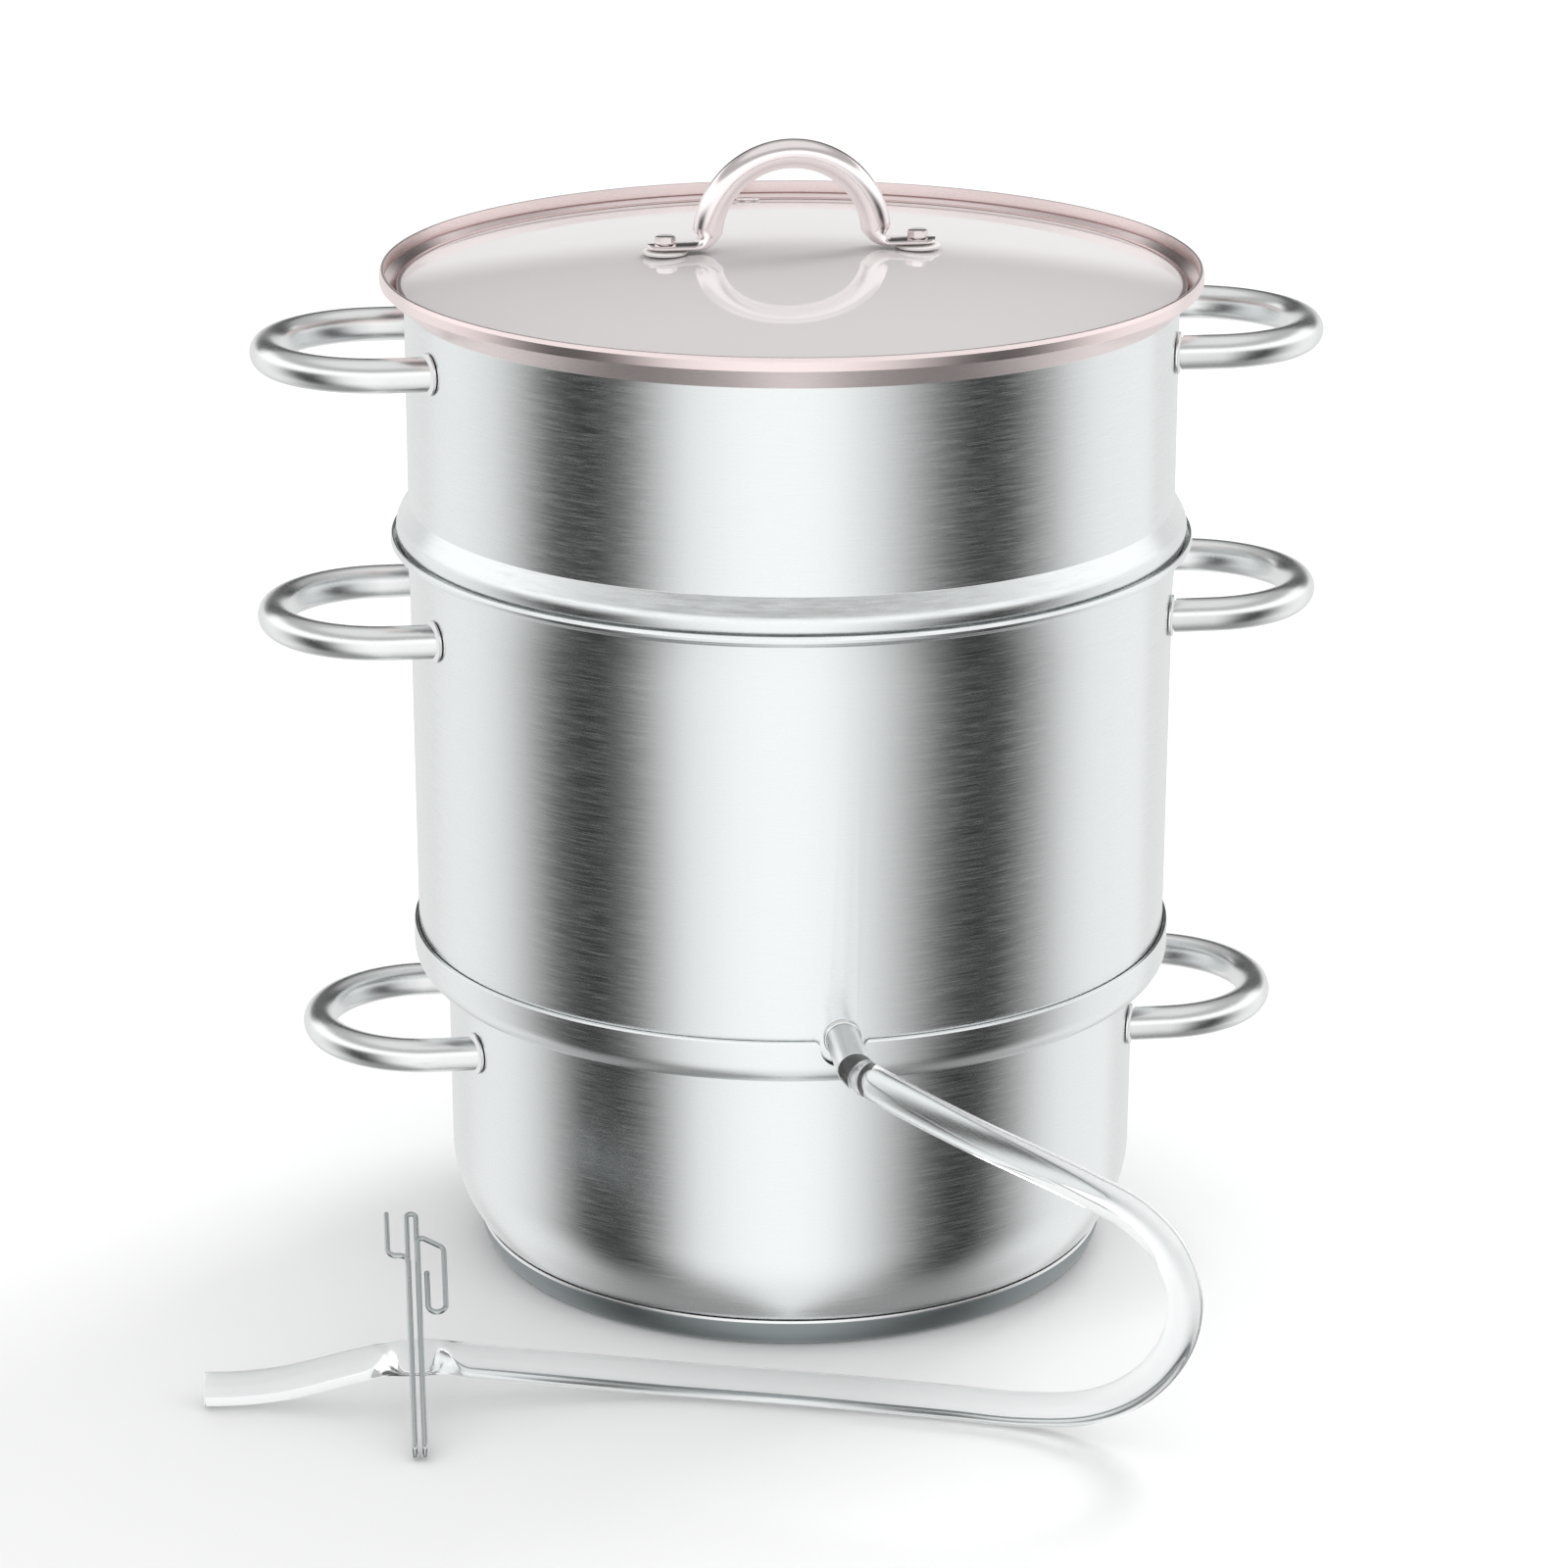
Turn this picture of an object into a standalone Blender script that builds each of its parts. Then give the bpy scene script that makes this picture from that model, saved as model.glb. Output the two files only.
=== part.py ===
"""Steam juicer: a water pot, a juice kettle and a fruit basket that seat in each other, with a glass lid.

The origin is the middle of the base, on the surface that the pot stands on, with +Z up.
The handles lie along X and the juice spout points along -Y.
"""

import math

import bmesh
import bpy
from mathutils import Matrix, Vector

MM = 0.001

# Sheet, clearances and roundness shared by the vessels
WALL = 0.8 * MM
GAP = 0.3 * MM
OVERRUN = 4.0 * MM
VESSEL_SIDES = 36
ROUND_SIDES = 12
ROD_SIDES = 8
HOLE_SIDES = 6
BEND_STEPS = 4
MERGE = 0.01 * MM
SMOOTH_ANGLE = math.radians(35.0)

# Radii of the vessels, from the fruit basket down: each steps from the one that it seats on
BASKET_RADIUS = 130.0 * MM
KETTLE_RADIUS = BASKET_RADIUS
KETTLE_TAPER = 0.7 * MM
KETTLE_RADIUS_LOW = KETTLE_RADIUS - KETTLE_TAPER
POT_COLLAR_PLAY = 0.6 * MM
POT_COLLAR_RADIUS = KETTLE_RADIUS_LOW + GAP + POT_COLLAR_PLAY + WALL
POT_COLLAR_STEP = 11.5 * MM
POT_RADIUS = POT_COLLAR_RADIUS - POT_COLLAR_STEP
POT_TAPER = 0.5 * MM
POT_RADIUS_LOW = POT_RADIUS - POT_TAPER

# Water pot
POT_HEIGHT = 118.2 * MM
POT_CORNER = 42.0 * MM
POT_CORNER_HEIGHT = 37.5 * MM
POT_FLOOR_HEIGHT = 6.0 * MM
POT_COLLAR_BAND = 5.5 * MM
POT_COLLAR_BOWL = 10.5 * MM
POT_NECK_STEP = 0.9 * MM
BASE_EDGE = 5.7 * MM
BASE_LIP = 0.6 * MM
BASE_HEIGHT = 9.9 * MM
NOTCH_PLAY = 1.1 * MM
NOTCH_DROP = 3.3 * MM
NOTCH_CORNER = 6.4 * MM
NOTCH_SHOULDER = 2.2 * MM

# Juice kettle
KETTLE_HEIGHT = 153.6 * MM
KETTLE_RIM_FLARE = 6.2 * MM
KETTLE_RIM_BAND = 2.0 * MM
KETTLE_NECK_STEP = 0.9 * MM
KETTLE_NECK_DROP = 3.0 * MM
KETTLE_CONE = 14.0 * MM
FUNNEL_HOLE_RADIUS = 40.0 * MM
FUNNEL_SET = 2.0 * MM
FUNNEL_TOP_RADIUS = 20.0 * MM
FUNNEL_HEADROOM = 7.7 * MM
FUNNEL_FLANGE = 8.0 * MM
FUNNEL_LIP = 1.6 * MM

# Juice spout
SPOUT_RADIUS = 4.7 * MM
SPOUT_WALL = 0.65 * MM
SPOUT_RISE = 15.7 * MM
SPOUT_REACH = 28.0 * MM
SPOUT_INSIDE = 2.0 * MM
COLLAR_WIDTH = 1.2 * MM
COLLAR_THICKNESS = 1.4 * MM

# Fruit basket
BASKET_HEIGHT = 90.7 * MM
BASKET_RIM_FLARE = 7.9 * MM
BASKET_RIM_BAND = 4.4 * MM
BASKET_RIM_DROP = 8.0 * MM
BEAD_INSET = 1.9 * MM
BEAD_TOP = 16.1 * MM
BEAD_WIDEST = 3.6 * MM
BEAD_BAND = 2.6 * MM
SKIRT_INSET = 2.2 * MM
SKIRT_DEPTH = 26.0 * MM
SKIRT_CORNER = 8.0 * MM
SKIRT_TOP = 10.0 * MM
FLOOR_HOLE_RADIUS = 3.0 * MM
FLOOR_HOLE_PITCH = 24.0 * MM
FLOOR_HOLE_MARGIN = 12.0 * MM
HOLES_PER_RING = 6

# Side handles and their weld pads
ROD_RADIUS = 5.2 * MM
LEG_SPACING = 75.4 * MM
HANDLE_REACH = 51.8 * MM
POT_HANDLE_REACH = 51.0 * MM
PAD_WIDTH = 1.7 * MM
PAD_THICKNESS = 1.2 * MM
POT_HANDLE_DROP = 34.4 * MM
KETTLE_HANDLE_DROP = 26.1 * MM
BASKET_HANDLE_DROP = 25.8 * MM
HANDLE_STEPS = 10

# Lid
GLASS_THICKNESS = 2.6 * MM
GLASS_RISE = 10.4 * MM
GLASS_RINGS = 5
BAND_STEP = 2.6 * MM
BAND_WALL = 0.4 * MM
BAND_LIP = 1.0 * MM
BAND_FOOT_STEP = 1.0 * MM
BAND_FOOT_RISE = 1.4 * MM
ARCH_RADIUS = 28.5 * MM
ARCH_TUBE_RADIUS = 4.95 * MM
ARCH_LEG_RISE = 1.9 * MM
ARCH_FOOT_BEND = 7.5 * MM
ARCH_STEPS = 12
TAB_THICKNESS = 2.0 * MM
TAB_WIDTH = 12.0 * MM
TAB_REACH = 6.6 * MM
TAB_NOSE = 6.0 * MM
TAB_NOSE_WIDTH = 7.0 * MM
SCREW_RADIUS = 2.0 * MM
SCREW_HEAD_WIDTH = 1.5 * MM
SCREW_HEAD_HEIGHT = 2.3 * MM
SCREW_HEAD_ROUND = 0.5 * MM
GASKET_RADIUS = 7.5 * MM
GASKET_THICKNESS = 1.0 * MM
NUT_ACROSS = 7.0 * MM
NUT_HEIGHT = 4.0 * MM
NUT_CAP = 1.2 * MM
VENT_INSET = 10.9 * MM
VENT_BORE = 1.5 * MM
VENT_WALL = 0.8 * MM
VENT_FLANGE_WIDTH = 2.0 * MM
VENT_FLANGE = 1.0 * MM

# Hose and wire clamp
HOSE_WALL = 0.7 * MM
HOSE_STEP = 20.0 * MM
HOSE_BEVEL_RESOLUTION = 3
PINCH_THICKNESS = 2.4 * MM
PINCH_WIDTH = 15.6 * MM
PINCH_FLAT = 3.2 * MM
PINCH_LENGTH = 16.0 * MM
WIRE_RADIUS = 0.9 * MM
WIRE_BEVEL_RESOLUTION = 2
BAR_SPACING = 3.2 * MM
BAR_LOW = 38.0 * MM
BAR_HIGH = 42.0 * MM
SPIKE_HIGH = 60.0 * MM
HOOK_SPREAD = 8.3 * MM
HOOK_HIGH = 61.0 * MM
LOOP_SPREAD = 10.2 * MM
LOOP_INNER = 4.4 * MM
LOOP_TOP = 50.8 * MM
LOOP_SHOULDER = 46.0 * MM
LOOP_LOW = 20.0 * MM
LOOP_END = 34.7 * MM
WIRE_BEND = 2.9 * MM

# Route of the hose past the spout's mouth, chosen by hand: to the clamp's jaws, and past them
HOSE_TO_CLAMP = [
    (1.0, -169.0, 119.0),
    (6.5, -182.0, 118.4),
    (16.5, -193.5, 116.6),
    (30.5, -202.0, 113.0),
    (47.5, -208.0, 107.6),
    (64.5, -212.5, 100.0),
    (80.5, -215.5, 90.0),
    (92.0, -216.5, 75.5),
    (97.5, -214.5, 57.5),
    (95.5, -209.0, 39.0),
    (86.5, -200.5, 22.5),
    (72.0, -189.5, 11.0),
    (52.5, -178.0, 6.2),
    (31.0, -169.0, 5.7),
    (10.0, -161.5, 5.7),
    (-6.0, -155.8, 5.7),
    (-22.0, -150.4, 5.7),
    (-53.0, -141.6, 6.2),
    (-72.0, -138.4, 7.6),
    (-92.0, -137.8, 10.4),
    (-110.0, -139.2, 13.8),
    (-124.0, -141.2, 16.9),
    (-133.0, -142.4, 18.9),
    (-141.3, -142.8, 19.7),
]
HOSE_PAST_CLAMP = [
    (-149.9, -142.2, 19.2),
    (-160.0, -139.8, 16.8),
    (-171.5, -136.2, 12.6),
    (-184.0, -132.4, 8.4),
    (-197.0, -129.6, 6.0),
    (-210.0, -128.4, 5.7),
]

PINCH_PLACE = Vector(HOSE_TO_CLAMP[-1]) * MM

# Seats, from the bottom of the stack to the top
POT_COLLAR_LOW = POT_HEIGHT - POT_COLLAR_BAND - POT_COLLAR_BOWL
KETTLE_SEAT = POT_COLLAR_LOW + WALL + GAP
KETTLE_RIM_HEIGHT = KETTLE_SEAT + KETTLE_HEIGHT
BASKET_RIM_HEIGHT = KETTLE_RIM_HEIGHT + BASKET_HEIGHT

# What follows from the sizes of each piece's neighbours
POT_CORNER_CENTRE = POT_RADIUS_LOW - POT_CORNER
KETTLE_RIM_RADIUS = KETTLE_RADIUS + KETTLE_RIM_FLARE
KETTLE_NECK_RADIUS = KETTLE_RADIUS + KETTLE_NECK_STEP
FUNNEL_BASE_RADIUS = FUNNEL_HOLE_RADIUS + FUNNEL_SET
FUNNEL_FOOT = 2 * WALL + GAP
FUNNEL_HEIGHT = KETTLE_HEIGHT - SKIRT_DEPTH - FUNNEL_FOOT - FUNNEL_HEADROOM
SPOUT_BORE = SPOUT_RADIUS - SPOUT_WALL
COLLAR_RADIUS = SPOUT_RADIUS + GAP + COLLAR_WIDTH
NOTCH_WIDTH = 2 * (COLLAR_RADIUS + NOTCH_PLAY)
NOTCH_DEPTH = POT_HEIGHT - KETTLE_SEAT - SPOUT_RISE + COLLAR_RADIUS + NOTCH_DROP
BASKET_RIM_RADIUS = BASKET_RADIUS + BASKET_RIM_FLARE
BEAD_RADIUS = KETTLE_RIM_RADIUS - BEAD_INSET
SKIRT_RADIUS = KETTLE_RADIUS - SKIRT_INSET
PAD_RADIUS = ROD_RADIUS + PAD_WIDTH
BAND_RADIUS = BASKET_RADIUS + BAND_STEP
BAND_FOOT_RADIUS = BASKET_RADIUS + BAND_FOOT_STEP
SCREW_SPREAD = ARCH_RADIUS + ARCH_FOOT_BEND + TAB_REACH
SCREW_HEAD_RADIUS = SCREW_RADIUS + SCREW_HEAD_WIDTH
VENT_BARREL_RADIUS = VENT_BORE + VENT_WALL
VENT_FLANGE_RADIUS = VENT_BARREL_RADIUS + VENT_FLANGE_WIDTH
HOSE_RADIUS = SPOUT_RADIUS + GAP + HOSE_WALL

STEEL = (0.60, 0.62, 0.62)
BRIGHT_STEEL = (0.72, 0.72, 0.72)
CLEAR = (0.85, 0.88, 0.88)
DARK_RUBBER = (0.55, 0.55, 0.54)


def clear_scene():
    """Remove whatever the file holds already."""
    for item in list(bpy.data.objects):
        bpy.data.objects.remove(item, do_unlink=True)


def finish(name, colour, roughness, metallic, transmission=0.0):
    """A Principled material for one sub-part."""
    made = bpy.data.materials.new(name)
    made.use_nodes = True
    shader = made.node_tree.nodes["Principled BSDF"]
    shader.inputs["Base Color"].default_value = (*colour, 1.0)
    shader.inputs["Roughness"].default_value = roughness
    shader.inputs["Metallic"].default_value = metallic
    shader.inputs["Transmission Weight"].default_value = transmission
    return made


def satin_steel(name):
    """Brushed sheet of the vessels."""
    return finish(name + "_satin_steel", STEEL, 0.32, 1.0)


def bright_steel(name):
    """Polished rods, wire and small parts."""
    return finish(name + "_bright_steel", BRIGHT_STEEL, 0.18, 1.0)


def lift_empty(name, height):
    """The empty that carries one vessel and lies on the axis that it is lifted along."""
    empty = bpy.data.objects.new(name, None)
    empty.location = (0.0, 0.0, height)
    bpy.context.scene.collection.objects.link(empty)
    return empty


def place(name, bm, made, carrier=None, location=(0.0, 0.0, 0.0), rotation=(0.0, 0.0, 0.0)):
    """Turn a bmesh into a named, smooth-shaded object on its carrier."""
    bmesh.ops.recalc_face_normals(bm, faces=bm.faces)
    mesh = bpy.data.meshes.new(name)
    bm.to_mesh(mesh)
    bm.free()
    mesh.shade_smooth()
    mesh.set_sharp_from_angle(angle=SMOOTH_ANGLE)
    mesh.materials.append(made)
    item = bpy.data.objects.new(name, mesh)
    item.location = location
    item.rotation_euler = rotation
    item.parent = carrier
    bpy.context.scene.collection.objects.link(item)
    return item


def hide(cutter):
    """Mark an object as a cutter that isn't a part."""
    cutter.hide_render = True
    cutter.display_type = "WIRE"
    return cutter


def cut(item, cutter):
    """Take the cutter's shape out of an object."""
    modifier = item.modifiers.new(cutter.name, "BOOLEAN")
    modifier.operation = "DIFFERENCE"
    modifier.object = hide(cutter)


def turned(outline, sides):
    """Spin an outline of (radius, height) points round Z.

    An outline whose ends lie on the axis closes there; any other is joined into a ring first.
    """
    bm = bmesh.new()
    verts = [bm.verts.new((radius, 0.0, height)) for radius, height in outline]
    edges = [bm.edges.new(pair) for pair in zip(verts, verts[1:])]
    if outline[0][0] > 0.0 or outline[-1][0] > 0.0:
        edges.append(bm.edges.new((verts[-1], verts[0])))
    bmesh.ops.spin(
        bm, geom=verts + edges, cent=(0.0, 0.0, 0.0), axis=(0.0, 0.0, 1.0),
        angle=math.tau, steps=sides, use_merge=True,
    )
    bmesh.ops.remove_doubles(bm, verts=bm.verts, dist=MERGE)
    return bm


def swept(path, sections, across, sides):
    """Sweep an oval along a path that lies in one plane.

    Each section holds half the oval's height in the plane and half its width along across.
    """
    bm = bmesh.new()
    rings = []
    for index, (point, (half_height, half_width)) in enumerate(zip(path, sections)):
        before = path[max(index - 1, 0)]
        after = path[min(index + 1, len(path) - 1)]
        along = (after - before).normalized()
        up = across.cross(along).normalized()
        ring = []
        for side in range(sides):
            angle = math.tau * side / sides
            ring.append(bm.verts.new(
                point + up * half_height * math.cos(angle) + across * half_width * math.sin(angle)
            ))
        rings.append(ring)
    for low, high in zip(rings, rings[1:]):
        for side in range(sides):
            following = (side + 1) % sides
            bm.faces.new((low[side], low[following], high[following], high[side]))
    bm.faces.new(rings[0])
    bm.faces.new(rings[-1])
    return bm


def cylinder(radius, low, high, sides, turn=None):
    """A cylinder round Z between two heights, turned as a whole where asked."""
    bm = turned([(0.0, low), (radius, low), (radius, high), (0.0, high)], sides)
    if turn:
        bmesh.ops.transform(bm, matrix=turn, verts=bm.verts)
    return bm


def inward(points, distance):
    """The outline beside an outline, on the hollow side of a vessel drawn from its floor upwards."""
    moved = []
    for index, point in enumerate(points):
        here = Vector(point)
        normals = []
        for start, end in ((index - 1, index), (index, index + 1)):
            if start >= 0 and end < len(points):
                run = (Vector(points[end]) - Vector(points[start])).normalized()
                normals.append(Vector((-run.y, run.x)))
        normal = sum(normals, Vector((0.0, 0.0))).normalized()
        reach = distance / normal.dot(normals[0])
        moved.append(tuple(here + normal * reach))
    moved[0] = (max(points[0][0], 0.0), moved[0][1])
    return moved


def sheet(points, wall):
    """The closed outline of a sheet-metal vessel from its outer side."""
    return points + inward(points, wall)[::-1]


def rounded(radius_from, height_from, radius_to, height_to, steps):
    """A quarter oval that leaves its first point level and arrives upright."""
    points = []
    for step in range(steps + 1):
        angle = math.pi / 2 * step / steps
        points.append((
            radius_from + (radius_to - radius_from) * math.sin(angle),
            height_to + (height_from - height_to) * math.cos(angle),
        ))
    return points


def flare(radius_from, height_from, radius_to, height_to, steps):
    """An S-bend that starts and ends upright."""
    points = []
    for step in range(steps + 1):
        share = step / steps
        swing = (1 - math.cos(math.pi * share)) / 2
        points.append((
            radius_from + (radius_to - radius_from) * swing,
            height_from + (height_to - height_from) * share,
        ))
    return points


def pot_outline():
    """Outer side of the water pot, from the middle of its floor to its rim."""
    low_angle = math.asin((POT_CORNER_HEIGHT - POT_FLOOR_HEIGHT) / POT_CORNER)
    steps = BEND_STEPS + 1
    corner = []
    for step in range(steps + 1):
        angle = low_angle * (1 - step / steps)
        corner.append((
            POT_CORNER_CENTRE + POT_CORNER * math.cos(angle),
            POT_CORNER_HEIGHT - POT_CORNER * math.sin(angle),
        ))
    band_low = POT_HEIGHT - POT_COLLAR_BAND
    bowl = rounded(
        POT_RADIUS + POT_NECK_STEP, POT_COLLAR_LOW, POT_COLLAR_RADIUS, band_low, BEND_STEPS + 1
    )
    neck = [(POT_RADIUS, POT_COLLAR_LOW - POT_NECK_STEP)]
    return [(0.0, POT_FLOOR_HEIGHT)] + corner + neck + bowl + [(POT_COLLAR_RADIUS, POT_HEIGHT)]


def notch_cutter():
    """The upright-sided notch with rounded shoulders that clears the spout."""
    half = NOTCH_WIDTH / 2
    low = POT_HEIGHT - NOTCH_DEPTH
    corner = min(NOTCH_CORNER, half, NOTCH_DEPTH - NOTCH_SHOULDER)
    side = []
    for step in range(BEND_STEPS + 1):
        angle = math.pi / 2 * step / BEND_STEPS
        side.append((
            half - corner + corner * math.sin(angle), low + corner - corner * math.cos(angle),
        ))
    for step in range(BEND_STEPS + 1):
        angle = math.pi / 2 * step / BEND_STEPS
        side.append((
            half + NOTCH_SHOULDER - NOTCH_SHOULDER * math.cos(angle),
            POT_HEIGHT - NOTCH_SHOULDER + NOTCH_SHOULDER * math.sin(angle),
        ))
    side.append((half + NOTCH_SHOULDER, POT_HEIGHT + OVERRUN))
    outline = side + [(-x, z) for x, z in reversed(side)]
    inside = POT_RADIUS - OVERRUN
    outside = POT_COLLAR_RADIUS + OVERRUN
    bm = bmesh.new()
    face = bm.faces.new([bm.verts.new((x, -inside, z)) for x, z in outline])
    pushed = bmesh.ops.extrude_face_region(bm, geom=[face])["geom"]
    verts = [part for part in pushed if isinstance(part, bmesh.types.BMVert)]
    bmesh.ops.translate(bm, verts=verts, vec=(0.0, inside - outside, 0.0))
    return place("spout_notch_cutter", bm, satin_steel("cutter"))


def base_outline():
    """The base disc: a rounded edge and a dished top that takes the pot's corner."""
    reach = POT_CORNER + GAP
    seat = POT_FLOOR_HEIGHT - GAP
    top = BASE_HEIGHT
    dish = []
    for height in (top, (top + seat) / 2, seat):
        drop = POT_CORNER_HEIGHT - height
        dish.append((POT_CORNER_CENTRE + math.sqrt(reach ** 2 - drop ** 2), height))
    outside = dish[0][0] + BASE_LIP
    edge = []
    for step in range(BEND_STEPS + 1):
        angle = math.pi / 2 * step / BEND_STEPS
        edge.append((outside - BASE_EDGE * (1 - math.sin(angle)), top * (1 - math.cos(angle))))
    return [(0.0, 0.0)] + edge + dish + [(0.0, seat)]


def kettle_outline():
    """Outer side of the juice kettle, from the hole in its floor to its rim."""
    corner_height = POT_COLLAR_BOWL - WALL - GAP
    corner = rounded(
        POT_RADIUS + POT_NECK_STEP, 0.0, KETTLE_RADIUS_LOW, corner_height, BEND_STEPS
    )
    band_low = KETTLE_HEIGHT - KETTLE_RIM_BAND
    neck = band_low - KETTLE_NECK_DROP
    collar = flare(KETTLE_NECK_RADIUS, neck, KETTLE_RIM_RADIUS, band_low, BEND_STEPS)
    wall_top = [(KETTLE_RADIUS, neck - KETTLE_CONE)]
    return (
        [(FUNNEL_HOLE_RADIUS, 0.0)] + corner + wall_top + collar
        + [(KETTLE_RIM_RADIUS, KETTLE_HEIGHT)]
    )


def funnel_outline():
    """Outer side of the steam funnel: a flange on the floor, a cone and a small lip."""
    return [
        (FUNNEL_BASE_RADIUS + FUNNEL_FLANGE, 0.0),
        (FUNNEL_BASE_RADIUS, 0.0),
        (FUNNEL_TOP_RADIUS, FUNNEL_HEIGHT - FUNNEL_LIP),
        (FUNNEL_TOP_RADIUS + FUNNEL_LIP, FUNNEL_HEIGHT),
    ]


def basket_seat():
    """Where the basket's bead rests: the kettle's flare, moved in by the wall and the clearance."""
    band_low = -KETTLE_RIM_BAND
    neck = band_low - KETTLE_NECK_DROP
    kettle = flare(KETTLE_NECK_RADIUS, neck, KETTLE_RIM_RADIUS, band_low, BEND_STEPS)
    seat = inward([(KETTLE_RADIUS, neck - KETTLE_CONE)] + kettle, WALL + GAP)[1:]
    return [point for point in seat if point[0] < BEAD_RADIUS - WALL]


def basket_outline():
    """Outer side of the fruit basket, from the middle of its floor to its rim."""
    floor = -SKIRT_DEPTH
    corner = rounded(
        SKIRT_RADIUS - SKIRT_CORNER, floor, SKIRT_RADIUS, floor + SKIRT_CORNER, BEND_STEPS - 1
    )
    seat = basket_seat()
    bead_low = BEAD_WIDEST - BEAD_BAND
    bead = [(BEAD_RADIUS, bead_low)]
    bead += flare(BEAD_RADIUS, BEAD_WIDEST, BASKET_RADIUS, BEAD_TOP, BEND_STEPS)
    band_low = BASKET_HEIGHT - BASKET_RIM_BAND
    collar = flare(
        BASKET_RADIUS, band_low - BASKET_RIM_DROP, BASKET_RIM_RADIUS, band_low, BEND_STEPS + 1
    )
    return (
        [(0.0, floor)] + corner + [(SKIRT_RADIUS, -SKIRT_TOP)] + seat + bead + collar
        + [(BASKET_RIM_RADIUS, BASKET_HEIGHT)]
    )


def floor_hole_cutter(carrier):
    """Holes of the basket's floor: rings whose hole count grows with the ring."""
    bm = bmesh.new()
    depth = WALL + 2 * OVERRUN
    rings = int((SKIRT_RADIUS - SKIRT_CORNER - FLOOR_HOLE_MARGIN) / FLOOR_HOLE_PITCH)
    for ring in range(1, rings + 1):
        count = HOLES_PER_RING * ring
        for index in range(count):
            angle = math.tau * index / count
            centre = Vector((math.cos(angle), math.sin(angle), 0.0)) * FLOOR_HOLE_PITCH * ring
            centre.z = WALL / 2 - SKIRT_DEPTH
            bmesh.ops.create_cone(
                bm, cap_ends=True, segments=HOLE_SIDES, radius1=FLOOR_HOLE_RADIUS,
                radius2=FLOOR_HOLE_RADIUS, depth=depth, matrix=Matrix.Translation(centre),
            )
    return place("floor_hole_cutter", bm, satin_steel("cutter"), carrier)


def handle_path(side, wall_radius, reach):
    """Centreline of a side handle: two legs joined by half a circle."""
    bend = LEG_SPACING / 2
    centre = wall_radius + reach - ROD_RADIUS - bend
    root = math.sqrt(wall_radius ** 2 - bend ** 2) - OVERRUN
    path = [Vector((side * root, -bend, 0.0))]
    for step in range(HANDLE_STEPS + 1):
        angle = math.pi * (step / HANDLE_STEPS - 0.5)
        path.append(Vector((side * (centre + bend * math.cos(angle)), bend * math.sin(angle), 0.0)))
    path.append(Vector((side * root, bend, 0.0)))
    return path


def weld_pad(wall_at, bearing):
    """A thin round pad wrapped on the vessel's wall at a bearing, round the handle's own height."""
    bm = bmesh.new()
    layers = []
    for offset in (GAP, GAP + PAD_THICKNESS):
        ring = []
        for step in range(ROUND_SIDES):
            angle = math.tau * step / ROUND_SIDES
            rise = PAD_RADIUS * math.sin(angle)
            radius = wall_at(rise) + offset
            turn = bearing + PAD_RADIUS * math.cos(angle) / radius
            ring.append(bm.verts.new((radius * math.cos(turn), radius * math.sin(turn), rise)))
        radius = wall_at(0.0) + offset
        middle = bm.verts.new((radius * math.cos(bearing), radius * math.sin(bearing), 0.0))
        layers.append((ring, middle))
    for ring, middle in layers:
        for step in range(ROUND_SIDES):
            bm.faces.new((ring[step], ring[(step + 1) % ROUND_SIDES], middle))
    inner, outer = layers[0][0], layers[1][0]
    for step in range(ROUND_SIDES):
        following = (step + 1) % ROUND_SIDES
        bm.faces.new((inner[step], inner[following], outer[following], outer[step]))
    return bm


def straight_wall(low, radius_low, high, radius_high, height):
    """The radius of a straight-sided wall at a distance above a height on it."""
    def wall_at(rise):
        share = (height + rise - low) / (high - low)
        return radius_low + (radius_high - radius_low) * share

    return wall_at


def side_handles(vessel, carrier, wall_at, height, reach):
    """Two handles of one vessel, each coped to the two weld pads that hold it."""
    wall_radius = wall_at(0.0)
    standoff = GAP + PAD_THICKNESS + GAP
    half = ROD_RADIUS + OVERRUN
    cope_bm = turned(
        [(0.0, -half), (wall_at(-half) + standoff, -half), (wall_at(half) + standoff, half), (0.0, half)],
        2 * VESSEL_SIDES,
    )
    cope = place(vessel + "_handle_cope", cope_bm, satin_steel("cutter"), carrier, (0.0, 0.0, height))
    for label, side in (("left", -1), ("right", 1)):
        path = handle_path(side, wall_radius, reach)
        bm = swept(path, [(ROD_RADIUS, ROD_RADIUS)] * len(path), Vector((0.0, 0.0, 1.0)), ROD_SIDES)
        name = f"{vessel}_handle_{label}"
        rod = place(name, bm, bright_steel(name), carrier, (0.0, 0.0, height))
        cut(rod, cope)
        spread = math.asin(LEG_SPACING / 2 / wall_radius)
        for leg, turn in (("front", -spread), ("back", spread)):
            bearing = turn if side > 0 else math.pi - turn
            pad_name = f"{vessel}_pad_{label}_{leg}"
            pad = weld_pad(wall_at, bearing)
            place(pad_name, pad, bright_steel(pad_name), carrier, (0.0, 0.0, height))


def build_water_pot():
    """Pot shell, base disc and handles."""
    shell = place("pot_shell", turned(sheet(pot_outline(), WALL), VESSEL_SIDES), satin_steel("pot"))
    cut(shell, notch_cutter())
    place("base_disc", turned(base_outline(), VESSEL_SIDES), satin_steel("base"))
    height = POT_HEIGHT - POT_HANDLE_DROP
    neck = POT_COLLAR_LOW - POT_NECK_STEP
    wall_at = straight_wall(POT_CORNER_HEIGHT, POT_RADIUS_LOW, neck, POT_RADIUS, height)
    side_handles("pot", None, wall_at, height, POT_HANDLE_REACH)


def along_spout(distance_from, distance_to, radius):
    """A round bar on the spout's axis between two distances from the kettle's axis."""
    turn = Matrix.Rotation(math.pi / 2, 4, "X")
    return cylinder(radius, distance_from, distance_to, ROUND_SIDES, turn)


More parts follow.
